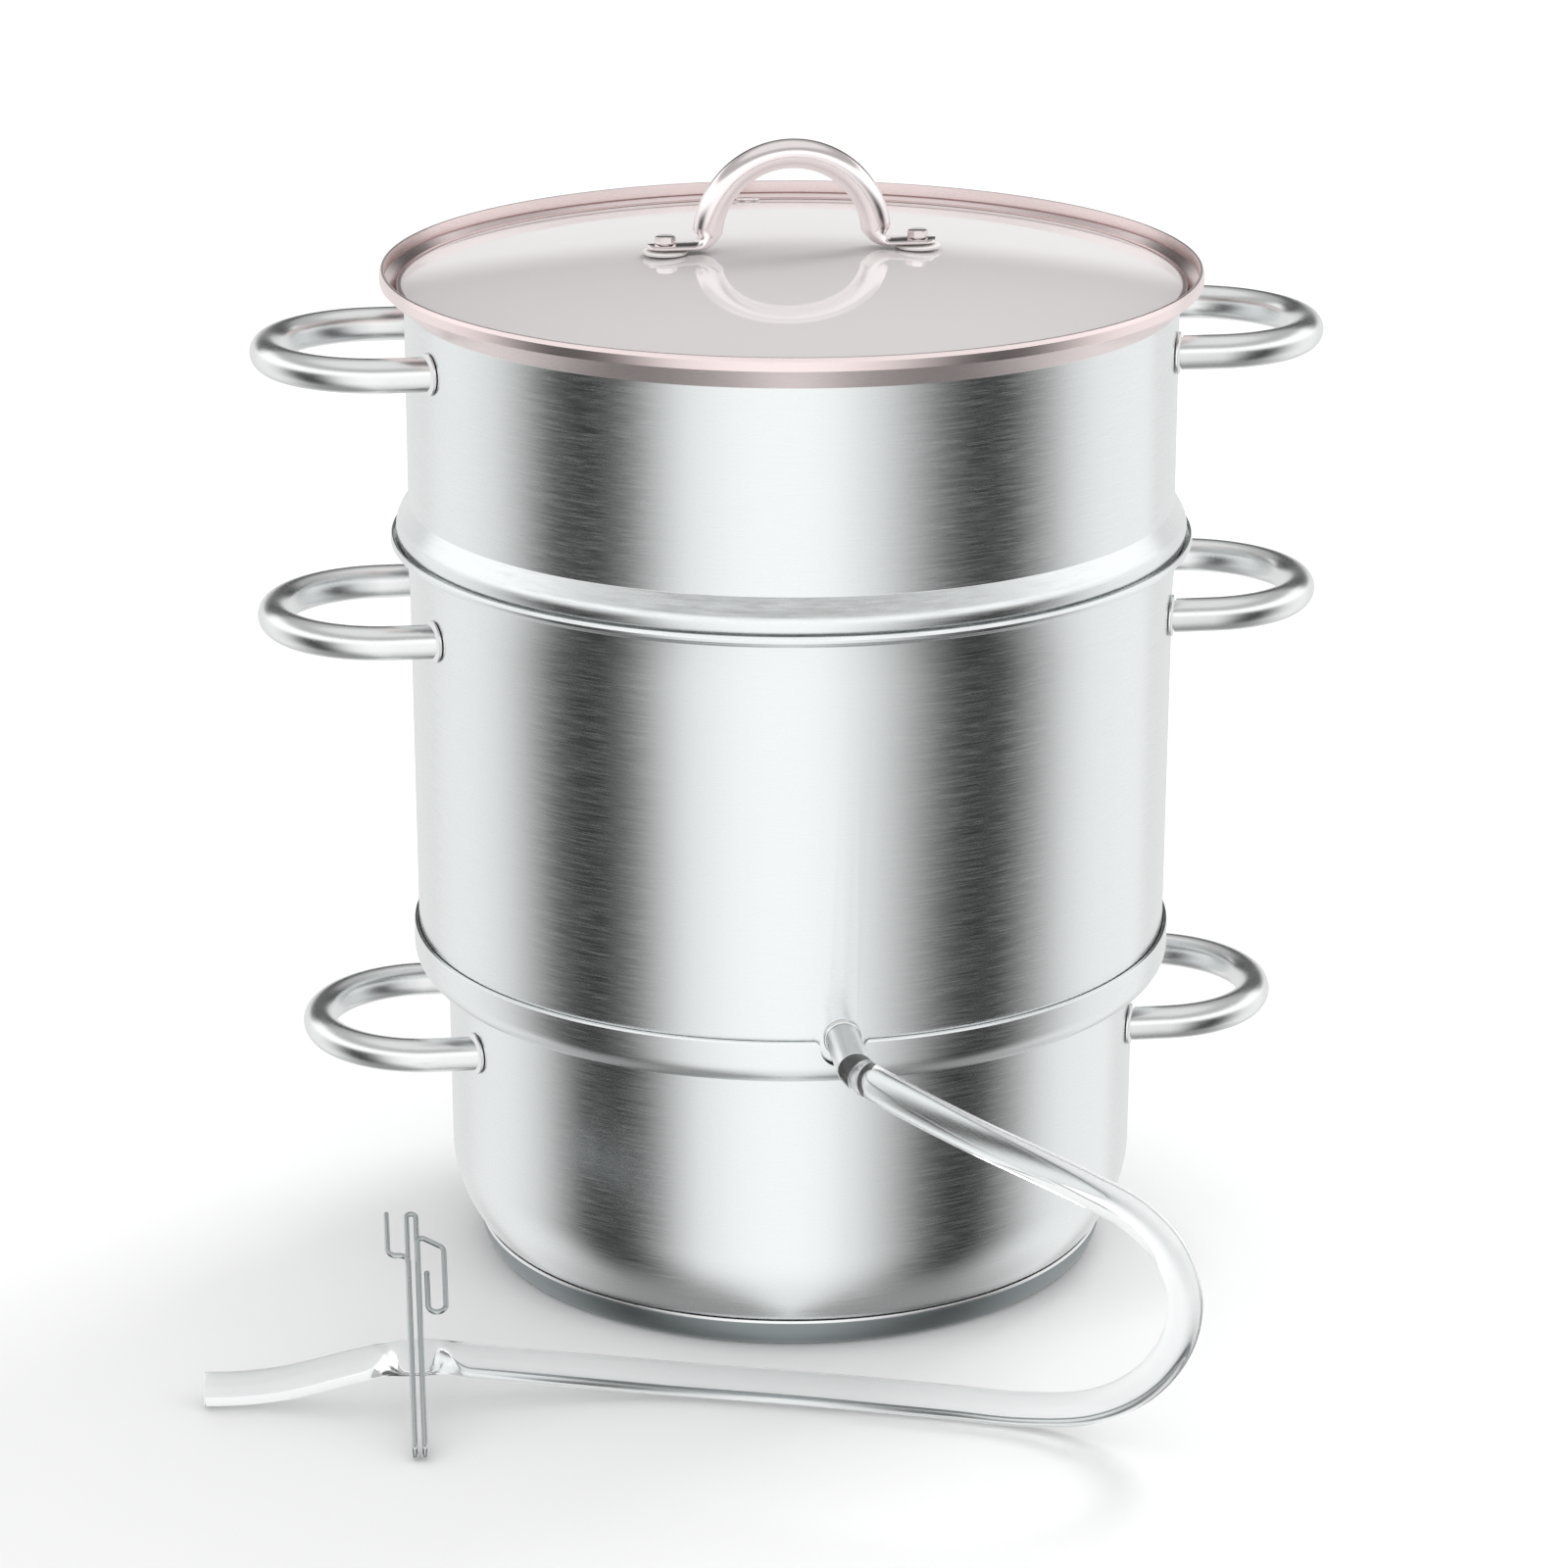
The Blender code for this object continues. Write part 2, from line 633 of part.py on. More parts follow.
def build_spout(carrier, shell):
    """Spout tube through the kettle's wall, and the weld collar round its foot."""
    wall = KETTLE_RADIUS_LOW
    place_at = (0.0, 0.0, SPOUT_RISE)
    hole = along_spout(wall - OVERRUN, wall + OVERRUN, SPOUT_RADIUS + GAP)
    cut(shell, place("spout_hole_cutter", hole, satin_steel("cutter"), carrier, place_at))
    inside = wall - WALL - SPOUT_INSIDE
    mouth = wall + SPOUT_REACH
    outline = [
        (SPOUT_BORE, inside), (SPOUT_RADIUS, inside), (SPOUT_RADIUS, mouth), (SPOUT_BORE, mouth),
    ]
    tube = turned(outline, ROUND_SIDES)
    bmesh.ops.transform(tube, matrix=Matrix.Rotation(math.pi / 2, 4, "X"), verts=tube.verts)
    place("spout_tube", tube, bright_steel("spout"), carrier, place_at)
    bore = SPOUT_RADIUS + GAP
    face = wall + GAP + COLLAR_THICKNESS
    ring = turned(ring_outline(bore, COLLAR_RADIUS, wall - OVERRUN, face), ROUND_SIDES)
    bmesh.ops.transform(ring, matrix=Matrix.Rotation(math.pi / 2, 4, "X"), verts=ring.verts)
    collar = place("spout_collar", ring, bright_steel("collar"), carrier, place_at)
    cope = cylinder(wall + GAP, 0.0, SPOUT_RISE + COLLAR_RADIUS + OVERRUN, 2 * VESSEL_SIDES)
    cut(collar, place("spout_collar_cope", cope, satin_steel("cutter"), carrier))


def build_juice_kettle(carrier):
    """Kettle shell, steam funnel, spout and handles."""
    outline = sheet(kettle_outline(), WALL)
    shell = place("kettle_shell", turned(outline, VESSEL_SIDES), satin_steel("kettle"), carrier)
    funnel = turned(sheet(funnel_outline(), WALL), VESSEL_SIDES)
    place("steam_funnel", funnel, satin_steel("funnel"), carrier, (0.0, 0.0, FUNNEL_FOOT))
    build_spout(carrier, shell)
    height = KETTLE_HEIGHT - KETTLE_HANDLE_DROP
    low = POT_COLLAR_BOWL - WALL - GAP
    high = KETTLE_HEIGHT - KETTLE_RIM_BAND - KETTLE_NECK_DROP - KETTLE_CONE
    wall_at = straight_wall(low, KETTLE_RADIUS_LOW, high, KETTLE_RADIUS, height)
    side_handles("kettle", carrier, wall_at, height, HANDLE_REACH)


def build_fruit_basket(carrier):
    """Basket shell with its perforated floor, and handles."""
    outline = sheet(basket_outline(), WALL)
    shell = place("basket_shell", turned(outline, VESSEL_SIDES), satin_steel("basket"), carrier)
    cut(shell, floor_hole_cutter(carrier))
    side_handles(
        "basket", carrier, lambda rise: BASKET_RADIUS, BASKET_HEIGHT - BASKET_HANDLE_DROP, HANDLE_REACH
    )


def band_seat():
    """Height below the basket's rim where the band's foot meets the inner side of the flare."""
    swing = (BAND_FOOT_RADIUS - BASKET_RADIUS) / (BASKET_RIM_RADIUS - BASKET_RADIUS)
    share = math.acos(1 - 2 * swing) / math.pi
    widening = (BASKET_RIM_RADIUS - BASKET_RADIUS) * math.pi / 2 * math.sin(math.pi * share)
    above = (WALL + GAP) * math.hypot(1.0, BASKET_RIM_DROP / widening)
    return above - BASKET_RIM_BAND - BASKET_RIM_DROP * (1 - share)


BAND_LOW = band_seat()
BAND_TOP = BAND_LOW + 2 * BAND_WALL + 2 * GAP + GLASS_THICKNESS
GLASS_RADIUS = BAND_RADIUS - BAND_WALL - GAP
GLASS_EDGE = BAND_TOP - BAND_WALL - GAP
GLASS_TOP = GLASS_EDGE + GLASS_RISE


def glass_height(radius):
    """Height of the glass's upper side at a radius, below or above the basket's rim."""
    return GLASS_TOP - GLASS_RISE * (radius / GLASS_RADIUS) ** 2


def glass_outline():
    """The domed glass, of one thickness, with its lower edge ground to the band's foot."""
    upper = []
    for ring in range(GLASS_RINGS + 1):
        radius = GLASS_RADIUS * ring / GLASS_RINGS
        upper.append((radius, glass_height(radius)))
    ground = BAND_FOOT_RADIUS - BAND_WALL - GAP
    edge = [
        (GLASS_RADIUS, BAND_LOW + BAND_FOOT_RISE + GAP),
        (ground, glass_height(ground) - GLASS_THICKNESS),
    ]
    lower = [(radius, height - GLASS_THICKNESS) for radius, height in upper[-2::-1]]
    return upper + edge + lower


def band_outline():
    """The steel band that wraps the glass's edge and rests on the basket's flare."""
    groove_top = BAND_TOP - BAND_WALL
    groove_low = BAND_LOW + BAND_WALL
    inner = BAND_RADIUS - BAND_WALL
    foot = BAND_FOOT_RADIUS - BAND_WALL
    lip = GLASS_RADIUS - BAND_LIP
    return [
        (lip, groove_top), (inner, groove_top), (inner, BAND_LOW + BAND_FOOT_RISE),
        (foot, groove_low), (foot - BAND_LIP, groove_low), (foot - BAND_LIP, BAND_LOW),
        (BAND_FOOT_RADIUS, BAND_LOW), (BAND_RADIUS, BAND_LOW + BAND_FOOT_RISE),
        (BAND_RADIUS, BAND_TOP), (lip, BAND_TOP),
    ]


def arch_path():
    """Centreline of the lid's handle, from one screw tab over the arch to the other."""
    tab = ARCH_TAB_HEIGHT
    bend = ARCH_FOOT_BEND
    centre = tab + ARCH_LEG_RISE
    start = math.asin((bend - ARCH_LEG_RISE) / ARCH_RADIUS)
    outer = ARCH_RADIUS + bend
    half = [(SCREW_SPREAD + TAB_NOSE, tab), (SCREW_SPREAD + TAB_NOSE / 2, tab), (outer, tab)]
    for step in range(1, BEND_STEPS):
        angle = math.pi / 2 * step / BEND_STEPS
        half.append((outer - bend * math.sin(angle), tab + bend * (1 - math.cos(angle))))
    for step in range(ARCH_STEPS // 2):
        angle = start + (math.pi / 2 - start) * 2 * step / ARCH_STEPS
        half.append((ARCH_RADIUS * math.cos(angle), centre + ARCH_RADIUS * math.sin(angle)))
    top = [(0.0, centre + ARCH_RADIUS)]
    whole = [(-x, z) for x, z in half] + top + half[::-1]
    return [Vector((x, 0.0, z)) for x, z in whole]


def arch_sections():
    """Half height and half width of the lid handle's tube: flat tabs that grow into a round tube."""
    flat = TAB_THICKNESS / 2
    wide = TAB_WIDTH / 2
    half = [(flat, TAB_NOSE_WIDTH / 2), (flat, wide), (flat, wide)]
    for step in range(1, BEND_STEPS):
        share = step / BEND_STEPS
        half.append((
            flat + (ARCH_TUBE_RADIUS - flat) * share ** 2,
            wide + (ARCH_TUBE_RADIUS - wide) * share,
        ))
    half += [(ARCH_TUBE_RADIUS, ARCH_TUBE_RADIUS)] * (ARCH_STEPS // 2)
    return half + [(ARCH_TUBE_RADIUS, ARCH_TUBE_RADIUS)] + half[::-1]


GASKET_LOW = glass_height(SCREW_SPREAD - GASKET_RADIUS) + GAP
TAB_LOW = GASKET_LOW + GASKET_THICKNESS + GAP
ARCH_TAB_HEIGHT = TAB_LOW + TAB_THICKNESS / 2
HEAD_LOW = TAB_LOW + TAB_THICKNESS + GAP
UNDER_GASKET_TOP = glass_height(SCREW_SPREAD + GASKET_RADIUS) - GLASS_THICKNESS - GAP
NUT_TOP = UNDER_GASKET_TOP - GASKET_THICKNESS - GAP
SHANK_LOW = NUT_TOP - NUT_HEIGHT + NUT_CAP + GAP


def ring_outline(inner, outer, low, high):
    """A plain washer's outline."""
    return [(inner, low), (outer, low), (outer, high), (inner, high)]


def cap_nut():
    """A hexagonal nut with a blind hole, open at its top."""
    hole = SCREW_RADIUS + GAP
    low = NUT_TOP - NUT_HEIGHT
    corner = NUT_ACROSS / 2 / math.cos(math.pi / 6)
    outline = [
        (0.0, low), (corner, low), (corner, NUT_TOP), (hole, NUT_TOP),
        (hole, low + NUT_CAP), (0.0, low + NUT_CAP),
    ]
    return turned(outline, 6)


def build_lid_fasteners(carrier):
    """On each tab: a screw, a gasket on each side of the glass, and a cap nut."""
    head_top = HEAD_LOW + SCREW_HEAD_HEIGHT
    screw = [
        (0.0, SHANK_LOW), (SCREW_RADIUS, SHANK_LOW), (SCREW_RADIUS, HEAD_LOW),
        (SCREW_HEAD_RADIUS, HEAD_LOW), (SCREW_HEAD_RADIUS, head_top - SCREW_HEAD_ROUND),
        (SCREW_HEAD_RADIUS - SCREW_HEAD_ROUND, head_top), (0.0, head_top),
    ]
    hole = SCREW_RADIUS + GAP
    upper = ring_outline(hole, GASKET_RADIUS, GASKET_LOW, GASKET_LOW + GASKET_THICKNESS)
    lower = ring_outline(hole, GASKET_RADIUS, UNDER_GASKET_TOP - GASKET_THICKNESS, UNDER_GASKET_TOP)
    for label, side in (("left", -1), ("right", 1)):
        at = (side * SCREW_SPREAD, 0.0, 0.0)
        rubber = finish("gasket_" + label, DARK_RUBBER, 0.5, 0.0)
        place("lid_screw_" + label, turned(screw, ROUND_SIDES), bright_steel("screw"), carrier, at)
        place("lid_gasket_top_" + label, turned(upper, ROUND_SIDES), rubber, carrier, at)
        place("lid_gasket_under_" + label, turned(lower, ROUND_SIDES), rubber, carrier, at)
        place("lid_nut_" + label, cap_nut(), bright_steel("nut"), carrier, at)


def vent_eyelet_outline():
    """A spool-shaped eyelet that grips the glass, round its own middle."""
    half = GLASS_THICKNESS / 2 + GAP
    tip = half + VENT_FLANGE
    return [
        (VENT_BORE, -tip), (VENT_FLANGE_RADIUS, -tip), (VENT_FLANGE_RADIUS, -half),
        (VENT_BARREL_RADIUS, -half), (VENT_BARREL_RADIUS, half), (VENT_FLANGE_RADIUS, half),
        (VENT_FLANGE_RADIUS, tip), (VENT_BORE, tip),
    ]


def build_lid(carrier):
    """Glass, steel band, vent eyelet, arched handle and fasteners."""
    clear = finish("lid_glass", CLEAR, 0.05, 0.0, 0.9)
    glass = place("lid_glass", turned(glass_outline(), VESSEL_SIDES), clear, carrier)
    place("lid_band", turned(band_outline(), VESSEL_SIDES), bright_steel("band"), carrier)
    arch = swept(arch_path(), arch_sections(), Vector((0.0, 1.0, 0.0)), ROD_SIDES)
    handle = place("lid_handle", arch, bright_steel("lid_handle"), carrier)
    low = NUT_TOP
    high = HEAD_LOW
    for label, side in (("left", -1), ("right", 1)):
        bm = cylinder(SCREW_RADIUS + GAP, low, high, ROUND_SIDES)
        at = (side * SCREW_SPREAD, 0.0, 0.0)
        cutter = place("screw_hole_cutter_" + label, bm, satin_steel("cutter"), carrier, at)
        cut(glass, cutter)
        cut(handle, cutter)
    build_lid_fasteners(carrier)
    vent = GLASS_RADIUS - VENT_INSET
    slope = 2 * GLASS_RISE * vent / GLASS_RADIUS ** 2
    at = (0.0, vent, glass_height(vent) - GLASS_THICKNESS / 2)
    tilt = (-math.atan(slope), 0.0, 0.0)
    reach = GLASS_THICKNESS / 2 + OVERRUN
    hole = cylinder(VENT_BARREL_RADIUS + GAP, -reach, reach, ROUND_SIDES)
    cut(glass, place("vent_hole_cutter", hole, satin_steel("cutter"), carrier, at, tilt))
    eyelet = turned(vent_eyelet_outline(), ROUND_SIDES)
    place("vent_eyelet", eyelet, bright_steel("eyelet"), carrier, at, tilt)


def through(points, step):
    """Points about a step apart on a smooth curve through the given points."""
    ends = [2 * points[0] - points[1]] + list(points) + [2 * points[-1] - points[-2]]
    curve = [points[0]]
    for a, b, c, d in zip(ends, ends[1:], ends[2:], ends[3:]):
        count = max(1, round((c - b).length / step))
        for index in range(1, count + 1):
            t = index / count
            curve.append((
                2 * b + (c - a) * t + (2 * a - 5 * b + 4 * c - d) * t ** 2
                + (3 * b - a - 3 * c + d) * t ** 3
            ) / 2)
    return curve


def tube_curve(name, points, radius, resolution):
    """A curve with filled caps along the points, not yet in the scene."""
    data = bpy.data.curves.new(name, "CURVE")
    data.dimensions = "3D"
    data.bevel_depth = radius
    data.bevel_resolution = resolution
    data.use_fill_caps = True
    spline = data.splines.new("POLY")
    spline.points.add(len(points) - 1)
    for made, point in zip(spline.points, points):
        made.co = (*point, 1.0)
    return bpy.data.objects.new(name, data)


# The clamp's bars lean back from the surface as far as the pinched hose holds them up
CLAMP_JAW = PINCH_THICKNESS / 2 + GAP + WIRE_RADIUS
CLAMP_LEAN = math.asin((PINCH_PLACE.z - CLAMP_JAW - WIRE_RADIUS - GAP) / BAR_LOW)


def clamp_frame():
    """The clamp's own axes at the hose: across it, up along its bars, and through its jaws."""
    up = Vector((0.0, math.cos(CLAMP_LEAN), math.sin(CLAMP_LEAN)))
    out = Vector((0.0, -math.sin(CLAMP_LEAN), math.cos(CLAMP_LEAN)))
    return Vector((1.0, 0.0, 0.0)), up, out


def pinch(bm):
    """Flatten the hose between the clamp's jaws."""
    across, up, out = clamp_frame()
    for vert in bm.verts:
        rest = vert.co - PINCH_PLACE
        along = abs(rest.dot(across))
        if along > PINCH_LENGTH or rest.length > PINCH_LENGTH + HOSE_RADIUS:
            continue
        share = max(0.0, (PINCH_LENGTH - along) / (PINCH_LENGTH - PINCH_FLAT))
        share = min(1.0, share)
        share = share * share * (3 - 2 * share)
        flat = 1 + (PINCH_THICKNESS / 2 / HOSE_RADIUS - 1) * share
        wide = 1 + (PINCH_WIDTH / 2 / HOSE_RADIUS - 1) * share
        centre = rest.dot(across) * across
        vert.co = PINCH_PLACE + centre + up * rest.dot(up) * wide + out * rest.dot(out) * flat


def build_hose(carrier):
    """The clear hose: over the spout, down to the surface, and along it to a bare end."""
    height = KETTLE_SEAT + SPOUT_RISE
    foot = KETTLE_RADIUS_LOW + 2 * GAP + COLLAR_THICKNESS
    mouth = KETTLE_RADIUS_LOW + SPOUT_REACH
    on_spout = [Vector((0.0, -foot, height)), Vector((0.0, -mouth, height))]
    route = [Vector(point) * MM for point in HOSE_TO_CLAMP + HOSE_PAST_CLAMP]
    free = through([on_spout[-1]] + route, HOSE_STEP)
    points = [on_spout[0]] + free
    curve = tube_curve("drain_hose_line", points, HOSE_RADIUS, HOSE_BEVEL_RESOLUTION)
    bm = bmesh.new()
    bm.from_mesh(bpy.data.meshes.new_from_object(curve))
    bpy.data.objects.remove(curve, do_unlink=True)
    bmesh.ops.remove_doubles(bm, verts=bm.verts, dist=MERGE)
    pinch(bm)
    bmesh.ops.translate(bm, verts=bm.verts, vec=(0.0, 0.0, -KETTLE_SEAT))
    clear = finish("clear_vinyl", CLEAR, 0.08, 0.0, 0.9)
    hose = place("drain_hose", bm, clear, carrier)
    bore = along_spout(foot - OVERRUN, mouth + GAP, SPOUT_RADIUS + GAP)
    at = (0.0, 0.0, SPOUT_RISE)
    cut(hose, place("hose_bore_cutter", bore, satin_steel("cutter"), carrier, at))


def turn_points(centre, radius, angle_from, angle_to, axis_a, axis_b):
    """Points of a bend round a centre, from one angle to another in the plane of two axes."""
    points = []
    for step in range(BEND_STEPS + 1):
        angle = angle_from + (angle_to - angle_from) * step / BEND_STEPS
        points.append(centre + radius * (axis_a * math.cos(angle) + axis_b * math.sin(angle)))
    return points


def clamp_wire():
    """The clamp's one wire in its own axes: hook, two jaws of paired bars, and finger loop."""
    jaw = CLAMP_JAW
    half = BAR_SPACING / 2
    u, v, w = Vector((1.0, 0.0, 0.0)), Vector((0.0, 1.0, 0.0)), Vector((0.0, 0.0, 1.0))
    bend = WIRE_BEND
    quarter = math.pi / 2
    wire = [Vector((-HOOK_SPREAD, HOOK_HIGH, jaw))]
    wire += turn_points(
        Vector((bend - HOOK_SPREAD, BAR_HIGH + bend, jaw)), bend, math.pi, 3 * quarter, u, v
    )
    wire += turn_points(
        Vector((-half - bend, BAR_HIGH - bend, jaw)), bend, quarter, 0.0, u, v
    )
    wire += turn_points(Vector((-half, -BAR_LOW, 0.0)), jaw, 0.0, -math.pi, w, v)
    wire += turn_points(Vector((0.0, SPIKE_HIGH, -jaw)), half, math.pi, 0.0, u, v)
    wire += turn_points(Vector((half, -BAR_LOW, 0.0)), jaw, -math.pi, 0.0, w, v)
    wire.append(Vector((half, LOOP_TOP, jaw)))
    wire.append(Vector((LOOP_SPREAD - half, LOOP_SHOULDER, jaw)))
    wire.append(Vector((LOOP_SPREAD, LOOP_SHOULDER - bend, jaw)))
    middle = (LOOP_SPREAD + LOOP_INNER) / 2
    reach = (LOOP_SPREAD - LOOP_INNER) / 2
    wire += turn_points(Vector((middle, LOOP_LOW, jaw)), reach, 0.0, -math.pi, u, v)
    wire.append(Vector((LOOP_INNER, LOOP_END, jaw)))
    return wire


def build_clamp(carrier):
    """The wire clamp, leaning on the surface with the hose between its jaws."""
    across, up, out = clamp_frame()
    points = [
        PINCH_PLACE + across * local.x + up * local.y + out * local.z
        - Vector((0.0, 0.0, KETTLE_SEAT))
        for local in clamp_wire()
    ]
    clamp = tube_curve("hose_clamp", points, WIRE_RADIUS, WIRE_BEVEL_RESOLUTION)
    clamp.data.materials.append(bright_steel("clamp_wire"))
    clamp.parent = carrier
    bpy.context.scene.collection.objects.link(clamp)


def main():
    """Build the whole juicer."""
    clear_scene()
    build_water_pot()
    kettle = lift_empty("juice_kettle_lift", KETTLE_SEAT)
    build_juice_kettle(kettle)
    build_hose(kettle)
    build_clamp(kettle)
    basket = lift_empty("fruit_basket_lift", KETTLE_RIM_HEIGHT)
    build_fruit_basket(basket)
    lid = lift_empty("lid_lift", BASKET_RIM_HEIGHT)
    build_lid(lid)


main()
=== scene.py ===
"""Looks of a steam juicer: spun steel vessels, rod handles, glass lid, clear hose and wire clamp.

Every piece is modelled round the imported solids, in metres, with +Z up and the spout along -Y.
"""

import logging
import math
from collections.abc import Callable, Sequence
from dataclasses import dataclass, field
from enum import Enum

import bmesh
import bpy
from bmesh.types import BMEdge, BMesh
from bpy.types import Material, Node, NodeSocket, NodeTree, Object
from mathutils import Matrix, Quaternion, Vector


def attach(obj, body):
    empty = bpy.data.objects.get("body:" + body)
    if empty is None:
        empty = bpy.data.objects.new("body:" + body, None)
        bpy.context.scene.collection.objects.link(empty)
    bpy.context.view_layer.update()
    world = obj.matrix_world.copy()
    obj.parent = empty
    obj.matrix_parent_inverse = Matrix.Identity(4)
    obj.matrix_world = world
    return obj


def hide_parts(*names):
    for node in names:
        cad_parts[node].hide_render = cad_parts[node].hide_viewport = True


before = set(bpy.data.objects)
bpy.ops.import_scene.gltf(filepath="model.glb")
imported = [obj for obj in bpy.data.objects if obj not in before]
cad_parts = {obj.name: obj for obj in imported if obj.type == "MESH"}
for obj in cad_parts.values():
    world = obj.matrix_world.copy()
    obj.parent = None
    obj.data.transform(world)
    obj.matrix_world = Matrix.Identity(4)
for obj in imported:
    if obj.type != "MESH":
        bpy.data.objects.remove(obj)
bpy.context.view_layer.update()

LOG = logging.getLogger("steam_juicer")

MM = 0.001
# Thickness of the vessels' sheet, and the clearance that neighbouring pieces keep
WALL = 0.8 * MM
GAP = 0.3 * MM
# How far a cutter reaches past what it cuts, and how near two points count as one
OVERRUN = 4.0 * MM
MERGE = 0.005 * MM
SHARP_ANGLE = math.radians(32.0)
# Lean of a rim off upright, and slope of the chamfer on a screw's head
RIM_LEAN = math.radians(20.0)
HEAD_SLOPE = math.pi / 6
# Rounding of a crisp crease, and of a hemmed rim as a share of its thickness
CREASE = 0.35 * MM
HEM_EASE = 1 / 8
# Steps of a full turn: vessels, small round parts, bores and shanks, six-sided parts
TURN_STEPS = 168
SMALL_STEPS = 64
BORE_STEPS = 32
HEX_STEPS = 6
# Steps of a bend, and of the rounding at a rod's ends
BEND_STEPS = 10
END_STEPS = 3
# Sockets of a Mix node on plain numbers: its share and its two values
MIX_SHARE, MIX_BELOW, MIX_ABOVE = 0, 2, 3

Outline = list[tuple[float, float]]
Levels = tuple[tuple[float, float], ...]
WallAt = Callable[[float], float]
UP = Vector((0.0, 0.0, 1.0))
ACROSS = Vector((1.0, 0.0, 0.0))
BACK = Vector((0.0, 1.0, 0.0))


class Body(str, Enum):
    """The rigid bodies that the pieces ride on."""

    POT = "water_pot"
    KETTLE = "juice_kettle"
    BASKET = "fruit_basket"
    LID = "lid"


class Slot(str, Enum):
    """The record's material slots."""

    SHEET = "sheet_steel"
    BRIGHT = "bright_steel"
    BASE = "base_core"
    GLASS = "lid_glass"
    GASKET = "gasket"
    HOSE = "hose"


class Side(Enum):
    """The two sides of the juicer that carry handles and lid screws."""

    LEFT = -1
    RIGHT = 1

    @property
    def label(self) -> str:
        """The side's name as the pieces spell it."""
        return self.name.lower()


class Joinery(Enum):
    """What is done with two closed shapes."""

    CUT = "DIFFERENCE"
    WELD = "UNION"


def linear(code: str) -> tuple[float, float, float, float]:
    """Turn an sRGB hex colour into linear light.

    Args:
        code: The colour as #RRGGBB.

    Returns:
        Linear red, green and blue, with full opacity.
    """
    channels = [int(code[start:start + 2], 16) / 255 for start in (1, 3, 5)]
    red, green, blue = (
        channel / 12.92 if channel <= 0.04045 else ((channel + 0.055) / 1.055) ** 2.4
        for channel in channels
    )
    return red, green, blue, 1.0


def add_node(tree: NodeTree, kind: str, inputs: dict | None = None, **settings: object) -> Node:
    """Add a node with its settings, values and links.

    Args:
        tree: The node tree that takes the node.
        kind: The node's type name.
        inputs: What goes into each socket, by name or number: a value, or a socket to link.
        settings: The node's own properties.

    Returns:
        The new node.
    """
    node = tree.nodes.new(kind)
    for name, value in settings.items():
        setattr(node, name, value)
    for name, value in (inputs or {}).items():
        if isinstance(value, NodeSocket):
            tree.links.new(value, node.inputs[name])
        else:
            node.inputs[name].default_value = value
    return node


def span(middle: float, swing: float) -> dict[str, float]:
    """The output range of a Map Range node, a swing to either side of a middle value."""
    return {"To Min": middle - swing, "To Max": middle + swing}


def quarter(start: tuple[float, float], end: tuple[float, float], steps: int = BEND_STEPS) -> Outline:
    """A quarter oval that leaves its start level and arrives upright.

    Args:
        start: Radius and height of the first point.
        end: Radius and height of the last point.
        steps: How many straight runs it has.

    Returns:
        The points from start to end.
    """
    points = []
    for step in range(steps + 1):
        angle = math.pi / 2 * step / steps
        points.append((
            start[0] + (end[0] - start[0]) * math.sin(angle),
            end[1] + (start[1] - end[1]) * math.cos(angle),
        ))
    return points


def s_bend(start: tuple[float, float], end: tuple[float, float]) -> Outline:
    """An S-bend that starts and ends upright.

    Args:
        start: Radius and height of the first point.
        end: Radius and height of the last point.

    Returns:
        The points from start to end.
    """
    steps = 2 * BEND_STEPS
    points = []
    for step in range(steps + 1):
        share = step / steps
        swing = (1 - math.cos(math.pi * share)) / 2
        points.append((start[0] + (end[0] - start[0]) * swing, start[1] + (end[1] - start[1]) * share))
    return points


def round_arc(
    centre: tuple[float, float], radius: float, start: float, end: float, steps: int = BEND_STEPS,
) -> Outline:
    """Points of an arc in the plane of radius and height.

    Args:
        centre: Radius and height of the arc's centre.
        radius: The arc's own radius.
        start: Angle of the first point, in degrees, from the outward direction upwards.
        end: Angle of the last point, in degrees.
        steps: How many straight runs it has.

    Returns:
        The points from start to end.
    """
    points = []
    for step in range(steps + 1):
        angle = math.radians(start + (end - start) * step / steps)
        points.append((centre[0] + radius * math.cos(angle), centre[1] + radius * math.sin(angle)))
    return points


def beside(points: Outline, distance: float) -> Outline:
    """The outline beside an outline, on the hollow side of a vessel drawn from its floor upwards.

    Args:
        points: The outer side.
        distance: How far in the new outline lies.

    Returns:
        The inner side, in the same order.
    """
    moved = []
    for index, point in enumerate(points):
        normals = []
        for start, end in ((index - 1, index), (index, index + 1)):
            if start >= 0 and end < len(points):
                run = (Vector(points[end]) - Vector(points[start])).normalized()
                normals.append(Vector((-run.y, run.x)))
        normal = sum(normals, Vector((0.0, 0.0))).normalized()
        moved.append(tuple(Vector(point) + normal * (distance / normal.dot(normals[0]))))
    moved[0] = (max(points[0][0], 0.0), moved[0][1])
    return moved


def eased_outline(corners: Sequence[tuple[float, float, float]]) -> Outline:
    """An outline whose corners are rounded.

    Args:
        corners: Radius, height and rounding of each corner; the rounding of the ends is 0.

    Returns:
        Radius and height of its points.
    """
    path = eased_path([(Vector((radius, 0.0, height)), ease) for radius, height, ease in corners])
    return [(point.x, point.z) for point in path]


